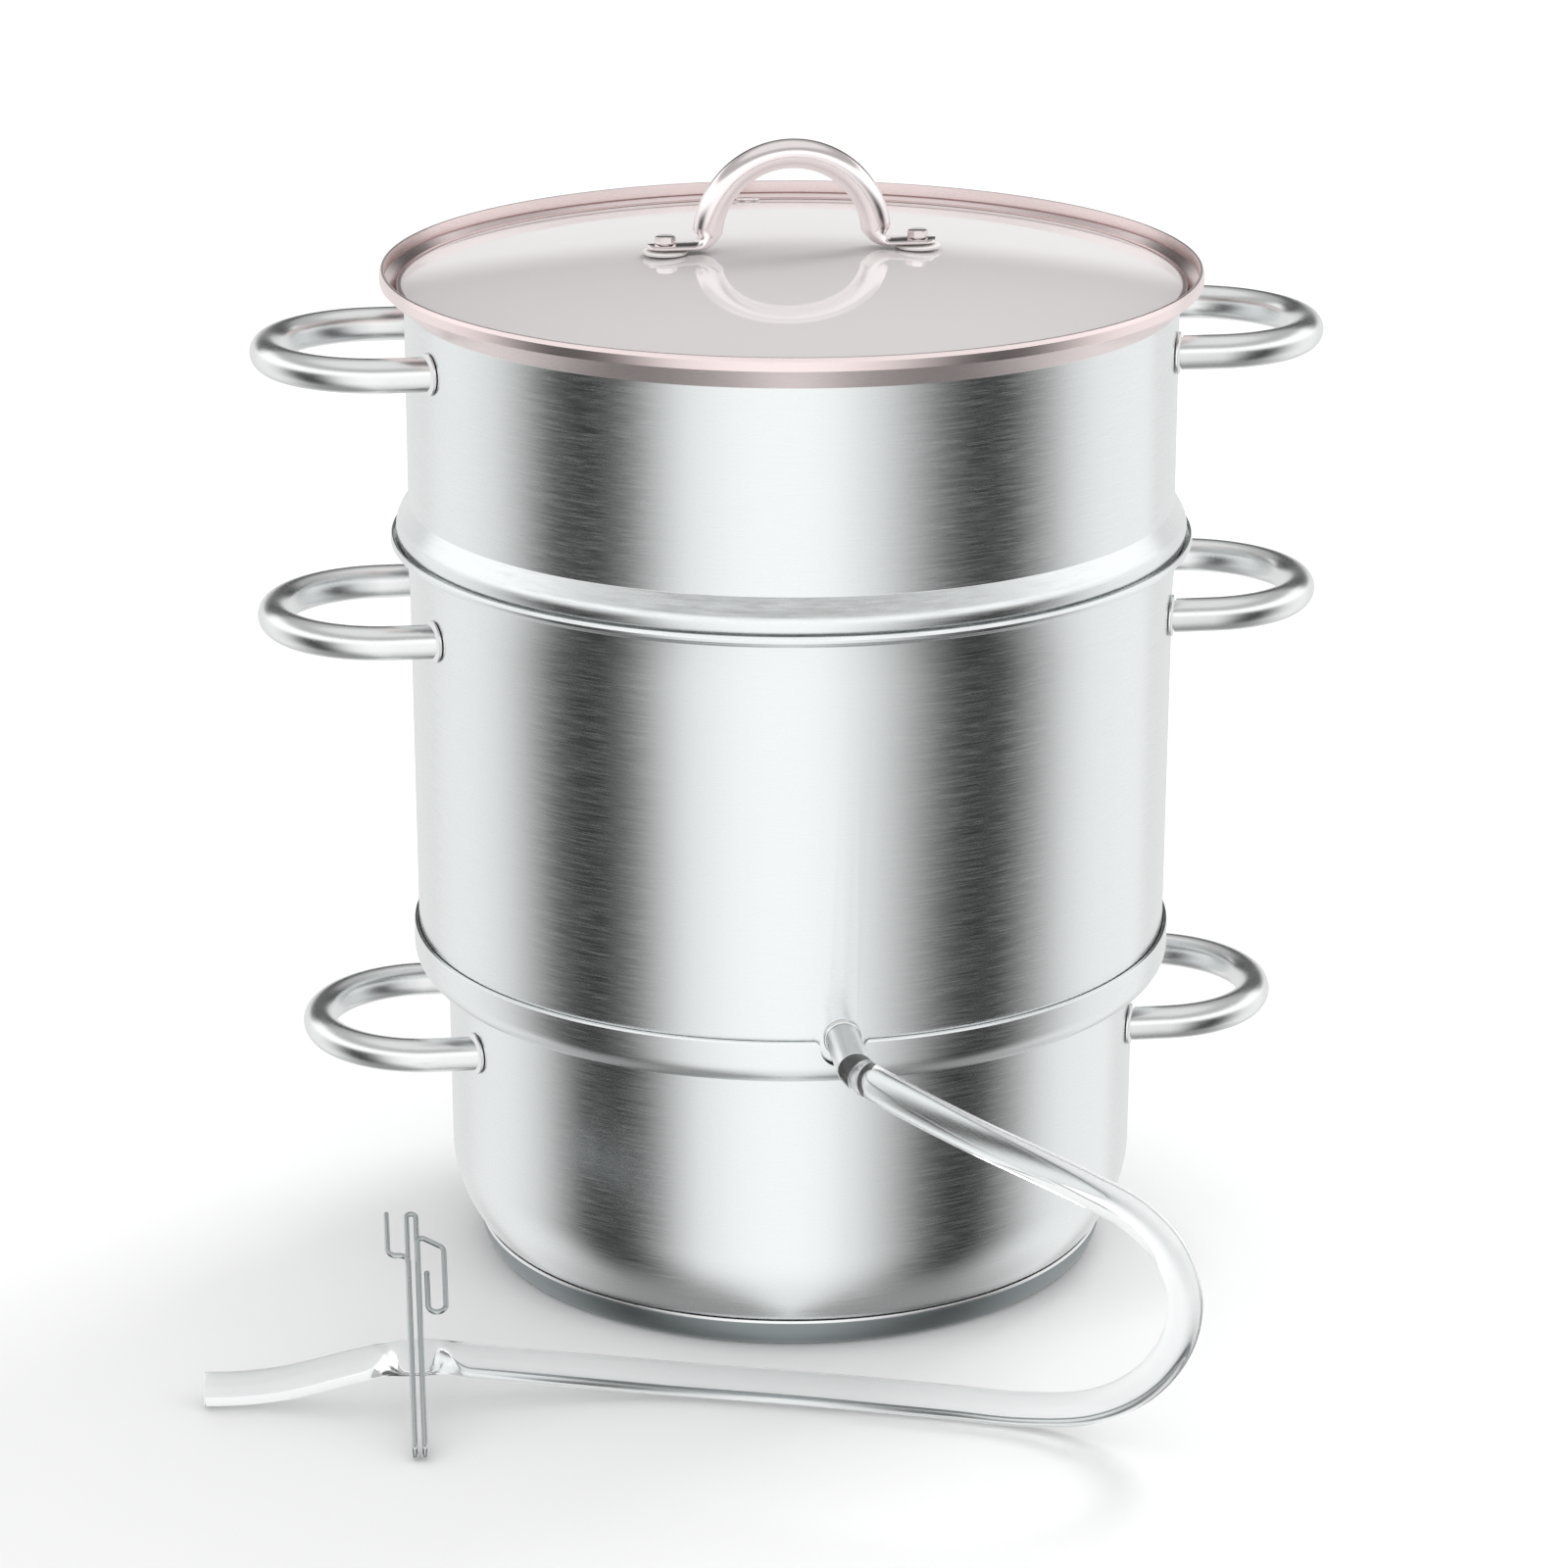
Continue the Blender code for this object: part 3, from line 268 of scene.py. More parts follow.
def sheet_with_rim(points: Outline, hem: float, hem_depth: float, lean_height: float) -> Outline:
    """The closed outline of a sheet vessel whose rim is hemmed inwards and leans in at its top.

    The lean catches the light as a fine white line round the vessel.

    Args:
        points: The outer side from the floor to the rim.
        hem: Thickness of the hemmed rim.
        hem_depth: How far the hem reaches down inside.
        lean_height: How far down from the top the rim leans.

    Returns:
        Outer side, rim and inner side, ready to be spun.
    """
    rim_radius, rim_height = points[-1]
    lean = lean_height * math.tan(RIM_LEAN)
    ease = hem * HEM_EASE
    rim = eased_outline([
        (*points[-2], 0.0), (rim_radius, rim_height - lean_height, ease),
        (rim_radius - lean, rim_height, ease), (rim_radius - hem, rim_height, ease),
        (rim_radius - hem, rim_height - hem_depth, 0.0),
    ])
    inner = [point for point in beside(points, WALL)[::-1] if point[1] < rim_height - hem_depth]
    return points[:-2] + rim + inner


def lathe(outline: Outline, steps: int = TURN_STEPS, turn: Matrix | None = None) -> BMesh:
    """Spin an outline of radius and height round Z.

    Args:
        outline: The points; an outline that doesn't start and end on the axis is joined into a ring.
        steps: How many steps one full turn has.
        turn: Where the spun shape goes as a whole.

    Returns:
        The closed shape.
    """
    bm = bmesh.new()
    verts = [bm.verts.new((radius, 0.0, height)) for radius, height in outline]
    edges = [bm.edges.new(pair) for pair in zip(verts, verts[1:])]
    if outline[0][0] > 0.0 or outline[-1][0] > 0.0:
        edges.append(bm.edges.new((verts[-1], verts[0])))
    bmesh.ops.spin(
        bm, geom=verts + edges, cent=(0.0, 0.0, 0.0), axis=(0.0, 0.0, 1.0),
        angle=math.tau, steps=steps, use_merge=True,
    )
    bmesh.ops.remove_doubles(bm, verts=bm.verts, dist=MERGE)
    bmesh.ops.recalc_face_normals(bm, faces=bm.faces)
    if turn:
        bmesh.ops.transform(bm, matrix=turn, verts=bm.verts)
    return bm


def frames_along(path: Sequence[Vector], across: Vector | None = None) -> list[Matrix]:
    """Axes square to a path at each of its points, turned as little as the path allows.

    Args:
        path: The points.
        across: A direction square to the whole path, where it lies in one plane.

    Returns:
        One matrix for each point, whose Z axis runs along the path.
    """
    frames = []
    side = across
    for index, point in enumerate(path):
        along = (path[min(index + 1, len(path) - 1)] - path[max(index - 1, 0)]).normalized()
        if side is None:
            side = along.orthogonal()
        side = (side - along * side.dot(along)).normalized()
        up = along.cross(side)
        turn = Matrix((side, up, along)).transposed().to_4x4()
        frames.append(Matrix.Translation(point) @ turn)
    return frames


def sweep(
    bm: BMesh, frames: Sequence[Matrix], sections: Sequence[tuple[float, float]], sides: int,
) -> tuple[list[BMEdge], list[BMEdge]]:
    """Extrude a ring from frame to frame, each ring at its own half width and half height.

    Args:
        bm: The mesh that takes the skin.
        frames: Where each ring lies, and which way it faces.
        sections: Half width and half height of each ring.
        sides: How many sides a ring has.

    Returns:
        The edges of the first and of the last ring.
    """
    places = [
        axes @ Matrix.Diagonal((wide, high, 1.0, 1.0)) for axes, (wide, high) in zip(frames, sections)
    ]
    ring = bmesh.ops.create_circle(bm, cap_ends=False, radius=1.0, segments=sides, matrix=places[0])
    edges = list({edge for vert in ring["verts"] for edge in vert.link_edges})
    first = list(edges)
    for before, after in zip(places, places[1:]):
        grown = bmesh.ops.extrude_edge_only(bm, edges=edges)["geom"]
        verts = [part for part in grown if isinstance(part, bmesh.types.BMVert)]
        edges = [
            part for part in grown
            if isinstance(part, bmesh.types.BMEdge) and all(vert in verts for vert in part.verts)
        ]
        bmesh.ops.transform(bm, matrix=after @ before.inverted(), verts=verts)
    return first, edges


def rod(
    path: Sequence[Vector], sections: Sequence[tuple[float, float]], sides: int, ease: float,
    across: Vector | None = None,
) -> BMesh:
    """A solid bar along a path, with eased ends.

    Args:
        path: The bar's centreline.
        sections: Half width and half height at each point.
        sides: How many sides the bar has.
        ease: How far the ends' edges are rounded.
        across: A direction square to the whole path, where it lies in one plane.

    Returns:
        The closed bar.
    """
    bm = bmesh.new()
    first, last = sweep(bm, frames_along(path, across), sections, sides)
    bmesh.ops.holes_fill(bm, edges=first + last, sides=0)
    bmesh.ops.recalc_face_normals(bm, faces=bm.faces)
    if ease:
        bmesh.ops.bevel(
            bm, geom=first + last, offset=ease, segments=END_STEPS, profile=0.5, affect="EDGES",
            material=-1,
        )
    return bm


def eased_path(corners: Sequence[tuple[Vector, float]]) -> list[Vector]:
    """A path whose corners are replaced by bends of a given radius.

    Args:
        corners: Each corner with the radius of its bend, 0 at the path's ends.

    Returns:
        The points of the straight runs and bends.
    """
    points = [corners[0][0]]
    for (before, _), (corner, radius), (after, _) in zip(corners, corners[1:], corners[2:]):
        back = (before - corner).normalized()
        ahead = (after - corner).normalized()
        half = back.angle(ahead) / 2
        centre = corner + (back + ahead).normalized() * radius / math.sin(half)
        start = corner + back * radius / math.tan(half) - centre
        end = corner + ahead * radius / math.tan(half) - centre
        for step in range(BEND_STEPS + 1):
            points.append(centre + start.slerp(end, step / BEND_STEPS).normalized() * radius)
    points.append(corners[-1][0])
    kept = points[:1]
    for point in points[1:]:
        if (point - kept[-1]).length > MERGE:
            kept.append(point)
    return kept


def smooth_path(points: Sequence[Vector], step: float) -> list[Vector]:
    """Points about a step apart on a smooth Catmull-Rom curve through the given points.

    Args:
        points: Where the curve passes.
        step: The distance between its points.

    Returns:
        The curve's points, with the first and the last of those given.
    """
    ends = [2 * points[0] - points[1], *points, 2 * points[-1] - points[-2]]
    curve = [points[0]]
    for a, b, c, d in zip(ends, ends[1:], ends[2:], ends[3:]):
        count = max(1, round((c - b).length / step))
        for index in range(1, count + 1):
            t = index / count
            curve.append((
                2 * b + (c - a) * t + (2 * a - 5 * b + 4 * c - d) * t ** 2
                + (3 * b - a - 3 * c + d) * t ** 3
            ) / 2)
    return curve


def carve(bm: BMesh, other: BMesh, joinery: Joinery = Joinery.CUT) -> BMesh:
    """Take one closed shape out of another, or weld the two.

    Args:
        bm: What is worked on; it is used up.
        other: What is taken out of it or welded to it; it is used up.
        joinery: Which of the two is done.

    Returns:
        The shape that comes of it.
    """
    scratch = []
    for part in (bm, other):
        mesh = bpy.data.meshes.new("scratch")
        part.to_mesh(mesh)
        part.free()
        scratch.append(bpy.data.objects.new("scratch", mesh))
        bpy.context.scene.collection.objects.link(scratch[-1])
    body, tool = scratch
    modifier = body.modifiers.new("carve", "BOOLEAN")
    modifier.operation = joinery.value
    modifier.object = tool
    graph = bpy.context.evaluated_depsgraph_get()
    left = bpy.data.meshes.new_from_object(body.evaluated_get(graph))
    result = bmesh.new()
    result.from_mesh(left)
    bpy.data.meshes.remove(left)
    for item in scratch:
        bpy.data.meshes.remove(item.data)
    return result


def upright(radius: float, low: float, high: float, at: Vector) -> BMesh:
    """An upright round bar, such as a drill.

    Args:
        radius: The bar's radius.
        low: Height of its lower end.
        high: Height of its upper end.
        at: Where its axis stands; only X and Y count.

    Returns:
        The closed bar.
    """
    bm = bmesh.new()
    place = Matrix.Translation((at.x, at.y, (low + high) / 2))
    bmesh.ops.create_cone(
        bm, cap_ends=True, segments=BORE_STEPS, radius1=radius, radius2=radius, depth=high - low,
        matrix=place,
    )
    return bm


def add_piece(
    name: str, bm: BMesh, finishes: Material | Sequence[Material], body: Body, slot: Slot,
    *nodes: str,
) -> Object:
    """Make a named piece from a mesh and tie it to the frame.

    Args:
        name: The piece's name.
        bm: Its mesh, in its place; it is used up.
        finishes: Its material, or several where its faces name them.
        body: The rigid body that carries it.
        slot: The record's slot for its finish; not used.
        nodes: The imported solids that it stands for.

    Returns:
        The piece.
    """
    mesh = bpy.data.meshes.new(name)
    bm.to_mesh(mesh)
    bm.free()
    mesh.shade_smooth()
    mesh.set_sharp_from_angle(angle=SHARP_ANGLE)
    for finish in [finishes] if isinstance(finishes, Material) else finishes:
        mesh.materials.append(finish)
    item = bpy.data.objects.new(name, mesh)
    bpy.context.scene.collection.objects.link(item)
    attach(item, body.value)
    if nodes:
        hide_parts(*nodes)
    LOG.info("%s: %d faces, rides on %s", name, len(mesh.polygons), body.value)
    return item


@dataclass(frozen=True)
class Finish:
    """What every finish shares: the real material's name, and how its node material starts."""

    name: str

    def start(self, values: dict[str, object]) -> tuple[Material, NodeTree, Node]:
        """Open the node material.

        Args:
            values: What is the same all over the surface, by the name of the shader's socket.

        Returns:
            The material, its node tree and its shader.
        """
        made = bpy.data.materials.new(self.name)
        made.use_nodes = True
        shader = made.node_tree.nodes["Principled BSDF"]
        for socket, value in values.items():
            shader.inputs[socket].default_value = value
        return made, made.node_tree, shader


@dataclass(frozen=True)
class SpunSteel(Finish):
    """Stainless sheet, spun and brushed round its axis.

    Reflections run into upright bands, because the brushing spreads them along Z and not across it.
    """

    colour: str = "#E9ECEC"
    roughness: float = 0.24
    roughness_swing: float = 0.07
    anisotropy: float = 0.72
    # A quarter turn, so that the gloss spreads along Z
    anisotropy_turn: float = 0.25
    line_length: float = 12.0 * MM
    # Real brushing is finer; it is drawn this coarse so that it shows
    line_width: float = 0.4 * MM
    line_detail: float = 3.0
    line_break: float = 0.6
    grain_low: float = 0.3
    grain_high: float = 0.7
    shade_swing: float = 0.03
    depth: float = 0.0008 * MM

    def make(self) -> Material:
        """Build the node material.

        Returns:
            The material.
        """
        made, tree, shader = self.start({
            "Metallic": 1.0, "Anisotropic": self.anisotropy, "Anisotropic Rotation": self.anisotropy_turn,
        })
        place = add_node(tree, "ShaderNodeTexCoord").outputs["Object"]
        parts = add_node(tree, "ShaderNodeSeparateXYZ", {"Vector": place}).outputs
        flat = add_node(tree, "ShaderNodeCombineXYZ", {"X": parts["X"], "Y": parts["Y"]}).outputs["Vector"]
        reach = add_node(tree, "ShaderNodeVectorMath", {0: flat}, operation="LENGTH").outputs["Value"]
        # Height and radius together, so that the lines run round walls and floors alike
        rise = add_node(tree, "ShaderNodeMath", {0: parts["Z"], 1: reach}, operation="ADD").outputs[0]
        lines = add_node(
            tree, "ShaderNodeCombineXYZ", {"X": parts["X"], "Y": parts["Y"], "Z": rise},
        ).outputs["Vector"]
        scaled = add_node(tree, "ShaderNodeMapping", {
            "Vector": lines,
            "Scale": (1 / self.line_length, 1 / self.line_length, 1 / self.line_width),
        }).outputs["Vector"]
        grain = add_node(tree, "ShaderNodeTexNoise", {
            "Vector": scaled, "Scale": 1.0, "Detail": self.line_detail, "Roughness": self.line_break,
        }).outputs["Fac"]
        grain = add_node(tree, "ShaderNodeMapRange", {
            "Value": grain, "From Min": self.grain_low, "From Max": self.grain_high,
        }).outputs["Result"]
        shade = add_node(tree, "ShaderNodeMapRange", {
            "Value": grain, **span(1.0, self.shade_swing),
        }).outputs["Result"]
        colour = add_node(tree, "ShaderNodeVectorMath", {
            0: linear(self.colour)[:3], 1: shade,
        }, operation="MULTIPLY").outputs["Vector"]
        gloss = add_node(tree, "ShaderNodeMapRange", {
            "Value": grain, **span(self.roughness, self.roughness_swing),
        }).outputs["Result"]
        bump = add_node(tree, "ShaderNodeBump", {"Height": grain, "Distance": self.depth}).outputs["Normal"]
        tangent = add_node(tree, "ShaderNodeTangent", direction_type="RADIAL", axis="Z").outputs["Tangent"]
        tree.links.new(colour, shader.inputs["Base Color"])
        tree.links.new(gloss, shader.inputs["Roughness"])
        tree.links.new(bump, shader.inputs["Normal"])
        tree.links.new(tangent, shader.inputs["Tangent"])
        return made


@dataclass(frozen=True)
class PolishedSteel(Finish):
    """Stainless rod, wire and small parts, ground and tumbled: soft-edged dark and white streaks."""

    colour: str = "#EEEFEF"
    roughness: float = 0.26
    roughness_swing: float = 0.04
    # Tumbling marks; finer ones than this would not show
    mark: float = 1.6 * MM
    mark_detail: float = 3.0
    mark_break: float = 0.55
    depth: float = 0.003 * MM

    def make(self) -> Material:
        """Build the node material.

        Returns:
            The material.
        """
        made, tree, shader = self.start({"Base Color": linear(self.colour), "Metallic": 1.0})
        place = add_node(tree, "ShaderNodeTexCoord").outputs["Object"]
        grain = add_node(tree, "ShaderNodeTexNoise", {
            "Vector": place, "Scale": 1 / self.mark, "Detail": self.mark_detail,
            "Roughness": self.mark_break,
        }).outputs["Fac"]
        gloss = add_node(tree, "ShaderNodeMapRange", {
            "Value": grain, **span(self.roughness, self.roughness_swing),
        }).outputs["Result"]
        bump = add_node(tree, "ShaderNodeBump", {"Height": grain, "Distance": self.depth}).outputs["Normal"]
        tree.links.new(gloss, shader.inputs["Roughness"])
        tree.links.new(bump, shader.inputs["Normal"])
        return made


@dataclass(frozen=True)
class FloatGlass(Finish):
    """Tempered lid glass with a faint warm grey cast; its pale matt colour is a painted reflection of the
    bright studio over it.
    """

    colour: str = "#E2DEDD"
    ior: float = 1.52
    # Low, as hardly anything shows through the glass; the pale colour that takes its place paints the
    # studio's reflection
    transmission: float = 0.16
    roughness: float = 0.04
    roughness_swing: float = 0.02
    # Size of the faint clouds in its gloss that wiping leaves
    smear: float = 38.0 * MM
    smear_detail: float = 2.0

    def make(self) -> Material:
        """Build the node material.

        Returns:
            The material.
        """
        made, tree, shader = self.start({
            "Base Color": linear(self.colour), "IOR": self.ior, "Transmission Weight": self.transmission,
        })
        place = add_node(tree, "ShaderNodeTexCoord").outputs["Object"]
        smear = add_node(tree, "ShaderNodeTexNoise", {
            "Vector": place, "Scale": 1 / self.smear, "Detail": self.smear_detail,
        }).outputs["Fac"]
        gloss = add_node(tree, "ShaderNodeMapRange", {
            "Value": smear, **span(self.roughness, self.roughness_swing),
        }).outputs["Result"]
        tree.links.new(gloss, shader.inputs["Roughness"])
        return made


@dataclass(frozen=True)
class ClearVinyl(Finish):
    """Clear extruded vinyl hose: bright lines at its edges, light grey inside, slow faint waves."""

    colour: str = "#FDFEFE"
    # Real vinyl has about 1.53; matched down, so that the hose bends less of what is behind it
    ior: float = 1.24
    transmission: float = 0.97
    roughness: float = 0.05
    shine: float = 0.4
    # Length of the waves that extrusion leaves in the skin
    wave: float = 12.0 * MM
    wave_detail: float = 1.0
    depth: float = 0.02 * MM

    def make(self) -> Material:
        """Build the node material.

        Returns:
            The material.
        """
        made, tree, shader = self.start({
            "Base Color": linear(self.colour), "Roughness": self.roughness, "IOR": self.ior,
            "Specular IOR Level": self.shine, "Transmission Weight": self.transmission,
        })
        place = add_node(tree, "ShaderNodeTexCoord").outputs["Object"]
        waves = add_node(tree, "ShaderNodeTexNoise", {
            "Vector": place, "Scale": 1 / self.wave, "Detail": self.wave_detail,
        }).outputs["Fac"]
        bump = add_node(tree, "ShaderNodeBump", {"Height": waves, "Distance": self.depth}).outputs["Normal"]
        tree.links.new(bump, shader.inputs["Normal"])
        return made


@dataclass(frozen=True)
class SiliconeRubber(Finish):
    """Moulded translucent silicone of the lid's gaskets: soft grey with a dull bloom."""

    colour: str = "#E9E6E4"
    roughness: float = 0.55
    scatter: float = 0.2
    scatter_depth: float = 2.0 * MM
    # Size of the patches of bloom
    bloom: float = 2.5 * MM
    bloom_detail: float = 3.0
    shade_swing: float = 0.06

    def make(self) -> Material:
        """Build the node material.

        Returns:
            The material.
        """
        made, tree, shader = self.start({
            "Roughness": self.roughness, "Subsurface Weight": self.scatter,
            "Subsurface Radius": (self.scatter_depth,) * 3,
        })
        place = add_node(tree, "ShaderNodeTexCoord").outputs["Object"]
        bloom = add_node(tree, "ShaderNodeTexNoise", {
            "Vector": place, "Scale": 1 / self.bloom, "Detail": self.bloom_detail,
        }).outputs["Fac"]
        shade = add_node(tree, "ShaderNodeMapRange", {
            "Value": bloom, **span(1.0, self.shade_swing),
        }).outputs["Result"]
        colour = add_node(tree, "ShaderNodeVectorMath", {
            0: linear(self.colour)[:3], 1: shade,
        }, operation="MULTIPLY").outputs["Vector"]
        tree.links.new(colour, shader.inputs["Base Color"])
        return made


@dataclass
class Studio:
    """Pale floor, soft key light, wide white surroundings and the camera."""

    position: Vector = field(default_factory=lambda: Vector((-0.21876, -1.66570, 0.7163)))
    heading: Vector = field(default_factory=lambda: Vector((0.1288, 0.9917, 0.0)))
    pitch: float = math.radians(18.21)
    roll: float = math.radians(0.072)
    lens: float = 117.27
    sensor: float = 36.0
    view_end: float = 50.0
    floor_size: float = 16.0
    floor_cells: int = 8
    floor_drop: float = 0.2 * MM
    floor_colour: str = "#F6F6F6"
    floor_roughness: float = 0.9
    key_place: Vector = field(default_factory=lambda: Vector((1.15, 1.0, 1.9)))
    key_size: float = 0.9
    key_power: float = 16.0
    # Even light from all round on what doesn't mirror
    fill: float = 1.06
    # Bearing from the camera's side and light level, as the vessels' walls mirror them
    wall_levels: Levels = (
        (-180, 0.96), (-138, 0.93), (-118, 0.97), (-103, 0.88), (-91, 0.64), (-79, 0.24), (-70, 0.05),
        (-62, 0.03), (-54, 0.10), (-46, 0.32), (-37, 0.71), (-24, 1.03), (0, 1.15), (18, 0.97),
        (30, 0.68), (40, 0.35), (49, 0.11), (57, 0.03), (63, 0.03), (72, 0.18), (84, 0.53), (97, 0.87),
        (110, 0.98), (180, 0.96),
    )
    # Angle over the horizon where the dark strips end, and the light over them
    strip_top: tuple[float, float] = (2.0, 14.0)
    open_level: float = 1.25
    floor_edge: tuple[float, float] = (-66.0, -38.0)
    # The floor as it is mirrored: bright towards the camera and away from it, dark at the sides
    floor_levels: Levels = (
        (-180, 0.98), (-168, 0.80), (-155, 0.40), (-140, 0.32), (-110, 0.34), (-75, 0.32), (-55, 0.33),
        (-36, 0.48), (-16, 0.86), (0, 0.98), (16, 0.86), (36, 0.48), (55, 0.33), (75, 0.32),
        (110, 0.34), (140, 0.32), (155, 0.40), (168, 0.80), (180, 0.98),
    )
    # A dim ceiling, brighter overhead
    ceiling_edge: tuple[float, float] = (32.0, 35.0)
    ceiling_level: float = 0.48
    zenith_edge: tuple[float, float] = (50.0, 64.0)
    zenith_level: float = 0.85
    # Beyond the juicer, as its level parts mirror it: a low pale band under a dark field
    far_floor: tuple[float, float] = (-46.0, -26.0)
    far_low: tuple[float, float] = (8.0, 14.0)
    far_level: float = 0.85
    far_dark: float = 0.05
    far_edge: tuple[float, float] = (-48.0, -38.0)

    def camera(self) -> None:
        """Place the camera where the photograph was taken from."""
        data = bpy.data.cameras.new("camera")
        data.sensor_width = self.sensor
        data.lens = self.lens
        data.clip_end = self.view_end
        item = bpy.data.objects.new("camera", data)
        bpy.context.scene.collection.objects.link(item)
        forward = self.heading.normalized() * math.cos(self.pitch) - UP * math.sin(self.pitch)
        item.location = self.position
        item.rotation_mode = "QUATERNION"
        item.rotation_quaternion = forward.to_track_quat("-Z", "Y") @ Quaternion(UP, self.roll)
        bpy.context.scene.camera = item

    def floor(self) -> None:
        """Lay the pale floor, which mirror-like surfaces don't see."""
        bm = bmesh.new()
        place = Matrix.Translation((0.0, 0.0, -self.floor_drop))
        bmesh.ops.create_grid(
            bm, x_segments=self.floor_cells, y_segments=self.floor_cells, size=self.floor_size / 2,
            matrix=place,
        )
        mesh = bpy.data.meshes.new("floor")
        bm.to_mesh(mesh)
        bm.free()
        item = bpy.data.objects.new("floor", mesh)
        bpy.context.scene.collection.objects.link(item)
        # Matt paper: an even pale ground without shine
        paper, _, _ = Finish("matt_white_paper").start({
            "Base Color": linear(self.floor_colour), "Roughness": self.floor_roughness,
            "Specular IOR Level": 0.0,
        })
        mesh.materials.append(paper)
        item.visible_glossy = False

    def key_light(self) -> None:
        """Hang the soft key light behind the juicer's right shoulder."""
        data = bpy.data.lights.new("key", "AREA")
        data.shape = "DISK"
        data.size = self.key_size
        data.energy = self.key_power
        item = bpy.data.objects.new("key", data)
        item.location = self.key_place
        item.rotation_mode = "QUATERNION"
        item.rotation_quaternion = (-self.key_place).to_track_quat("-Z", "Y")
        item.visible_glossy = False
        bpy.context.scene.collection.objects.link(item)

    def surroundings(self) -> None:
        """Set white walls with two dark strips for the steel, and even light for everything else."""
        world = bpy.data.worlds.new("studio")
        world.use_nodes = True
        bpy.context.scene.world = world
        tree = world.node_tree
        tree.nodes.clear()
        place = add_node(tree, "ShaderNodeTexCoord").outputs["Generated"]
        towards = math.atan2(self.position.y, self.position.x)
        turned = add_node(tree, "ShaderNodeVectorRotate", {
            "Vector": place, "Angle": -towards,
        }, rotation_type="Z_AXIS").outputs["Vector"]
        parts = add_node(tree, "ShaderNodeSeparateXYZ", {"Vector": turned}).outputs
        bearing = add_node(
            tree, "ShaderNodeMath", {0: parts["Y"], 1: parts["X"]}, operation="ARCTAN2",
        ).outputs[0]
        share = add_node(tree, "ShaderNodeMapRange", {
            "Value": bearing, "From Min": -math.pi, "From Max": math.pi,
        }).outputs["Result"]
        walls = self.curve(tree, share, self.wall_levels)
        ground = self.curve(tree, share, self.floor_levels)
        open_wall = self.blend(tree, parts["Z"], self.strip_top, walls, self.open_level)
        far = self.blend(tree, parts["Z"], self.far_low, self.far_level, self.far_dark)
        far = self.blend(tree, parts["Z"], self.far_floor, ground, far)
        around = self.blend(tree, parts["X"], self.far_edge, far, open_wall)
        over = self.blend(tree, parts["Z"], self.zenith_edge, self.ceiling_level, self.zenith_level)
        around = self.blend(tree, parts["Z"], self.ceiling_edge, around, over)
        mirrored = self.blend(tree, parts["Z"], self.floor_edge, ground, around)
        rays = add_node(tree, "ShaderNodeLightPath").outputs
        level = self.fill
        # The transmission ray comes last, because a ray through the hose also counts as glossy
        for ray, seen in (("Camera", 1.0), ("Glossy", mirrored), ("Transmission", 1.0)):
            level = add_node(tree, "ShaderNodeMix", {
                MIX_SHARE: rays[f"Is {ray} Ray"], MIX_BELOW: level, MIX_ABOVE: seen,
            }, data_type="FLOAT").outputs[0]
        shade = add_node(tree, "ShaderNodeBackground", {
            "Color": linear("#FFFFFF"), "Strength": level,
        }).outputs["Background"]
        add_node(tree, "ShaderNodeOutputWorld", {"Surface": shade})

    @staticmethod
    def blend(
        tree: NodeTree, place: NodeSocket, edge: tuple[float, float], below: NodeSocket | float,
        above: NodeSocket | float,
    ) -> NodeSocket:
        """Go from one light level to another across a soft edge.

        Args:
            tree: The world's node tree.
            place: The direction's part along X or Z.
            edge: Where the change starts and ends, in degrees over the plane square to that axis.
            below: The level before it.
            above: The level past it.

        Returns:
            The light level.
        """
        low, high = (math.sin(math.radians(angle)) for angle in edge)
        share = add_node(tree, "ShaderNodeMapRange", {
            "Value": place, "From Min": low, "From Max": high,
        }, interpolation_type="SMOOTHSTEP").outputs["Result"]
        return add_node(tree, "ShaderNodeMix", {
            MIX_SHARE: share, MIX_BELOW: below, MIX_ABOVE: above,
        }, data_type="FLOAT").outputs[0]

    @staticmethod
    def curve(tree: NodeTree, share: NodeSocket, levels: Levels) -> NodeSocket:
        """Light levels all round, through smooth stops.

        Args:
            tree: The world's node tree.
            share: The bearing as 0 to 1, from behind the juicer by its left and right.
            levels: Bearing in degrees and light level of each stop.

        Returns:
            The light level.
        """
        curve = add_node(tree, "ShaderNodeFloatCurve", {"Value": share})
        points = curve.mapping.curves[0].points
        top = max(level for _, level in levels)
        spots = [((bearing + 180) / 360, level / top) for bearing, level in levels]
        for spot in spots[1:-1]:
            points.new(*spot)
        points[0].location = spots[0]
        points[len(points) - 1].location = spots[-1]
        curve.mapping.update()
        return add_node(tree, "ShaderNodeMath", {
            0: curve.outputs["Value"], 1: top,
        }, operation="MULTIPLY").outputs[0]

    def build(self) -> None:
        """Set up the whole studio."""
        self.camera()
        self.floor()
        self.key_light()
        self.surroundings()
        bpy.context.scene.view_settings.view_transform = "Standard"
        bpy.context.scene.view_settings.look = "None"


